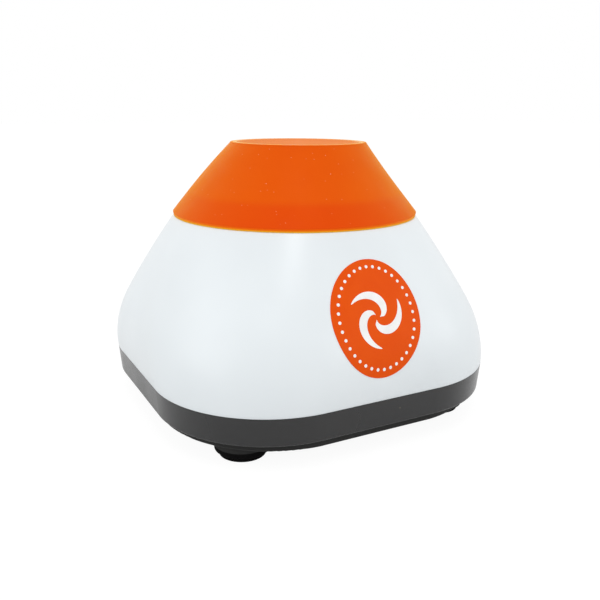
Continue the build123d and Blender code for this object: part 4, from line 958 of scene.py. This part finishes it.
def floor():
    """White table top. Seen straight on it is lifted to white but keeps the mixer's soft shadow."""
    material = bpy.data.materials.new("white_table")
    material.use_nodes = True
    tree = material.node_tree
    tree.nodes.remove(tree.nodes["Principled BSDF"])
    ray = add(tree, "ShaderNodeLightPath").outputs
    looks = []
    for grey, lift in ((0.7, 0.0), (0.95, 0.0), (0.12, 0.93)):  # as light, in a gloss, seen straight on
        lit = add(tree, "ShaderNodeBsdfDiffuse", {"Color": (grey, grey, grey, 1)})
        glow = add(tree, "ShaderNodeEmission", {"Color": (1, 1, 1, 1), "Strength": lift})
        looks.append(add(tree, "ShaderNodeAddShader", {0: lit.outputs[0], 1: glow.outputs[0]}).outputs[0])
    straight = add(tree, "ShaderNodeMath", {0: ray["Is Camera Ray"], 1: ray["Is Transmission Ray"]},
                   operation="MAXIMUM")
    gloss = add(tree, "ShaderNodeMixShader", {0: ray["Is Glossy Ray"], 1: looks[0], 2: looks[1]})
    both = add(tree, "ShaderNodeMixShader", {0: straight.outputs[0], 1: gloss.outputs[0], 2: looks[2]})
    tree.links.new(both.outputs[0], tree.nodes["Material Output"].inputs["Surface"])
    mesh = bpy.data.meshes.new("table")
    corners = [(x * TABLE_REACH, y * TABLE_REACH, 0) for x, y in ((-1, -1), (1, -1), (1, 1), (-1, 1))]
    mesh.from_pydata(corners, [], [(0, 1, 2, 3)])
    mesh.materials.append(material)
    placed("table", mesh)


def surroundings():
    """Even white all round, a little dimmer as light than as it looks."""
    world = bpy.data.worlds.new("white_studio")
    bpy.context.scene.world = world
    world.use_nodes = True
    tree = world.node_tree
    ray = add(tree, "ShaderNodeLightPath").outputs
    direct = add(tree, "ShaderNodeMath", {0: ray["Is Camera Ray"], 1: ray["Is Glossy Ray"]},
                 operation="MAXIMUM")
    direct = add(tree, "ShaderNodeMath", {0: direct.outputs[0], 1: ray["Is Transmission Ray"]},
                 operation="MAXIMUM")
    strength = add(tree, "ShaderNodeMapRange", {"Value": direct.outputs[0], "To Min": 0.8, "To Max": 1.0})
    back = tree.nodes["Background"]
    back.inputs["Color"].default_value = (1, 1, 1, 1)
    tree.links.new(strength.outputs["Result"], back.inputs["Strength"])


def soft_light(name, place, size, power):
    """Soft box aimed at the mixer, out of sight itself."""
    lamp = bpy.data.lights.new(name, "AREA")
    lamp.shape = "RECTANGLE"
    lamp.size, lamp.size_y = size
    lamp.energy = power
    holder = placed(name, lamp)
    holder.location = place
    holder.rotation_euler = (AIM - Vector(place)).to_track_quat("-Z", "Y").to_euler()
    holder.visible_camera = False


def camera():
    """Camera placed by its turn and reach round the motor's axis, with a slight roll."""
    data = bpy.data.cameras.new("camera")
    data.lens = LENS
    data.sensor_width = SENSOR
    data.clip_start = 10 * MM
    data.clip_end = 20
    eye = placed("camera", data)
    place = Vector((VIEW_REACH * math.sin(VIEW_TURN), -VIEW_REACH * math.cos(VIEW_TURN), VIEW_HIGH))
    ahead = (LOOK_AT - place).normalized()
    level = ahead.cross(Vector((0, 0, 1))).normalized()
    upright = level.cross(ahead)
    right = level * math.cos(VIEW_ROLL) + upright * math.sin(VIEW_ROLL)
    up = right.cross(ahead)
    axes = Matrix((right, up, -ahead)).transposed().to_4x4()
    axes.translation = place
    eye.matrix_world = axes
    bpy.context.scene.camera = eye


floor()
surroundings()
soft_light("overhead_softbox", (0.0, 0.0, 0.9), (0.3, 0.3), 0.15)
soft_light("front_softbox", (-0.145, -0.31, 0.73), (0.1, 0.34), 0.7)
soft_light("left_softbox", (-0.65, -0.05, 0.3), (0.5, 0.4), 0.8)
soft_light("right_softbox", (0.5, -0.5, 0.22), (0.8, 0.4), 0.9)
soft_light("back_softbox", (0.1, 0.7, 0.4), (0.5, 0.4), 0.4)
camera()

scene = bpy.context.scene
scene.view_settings.view_transform = "Standard"
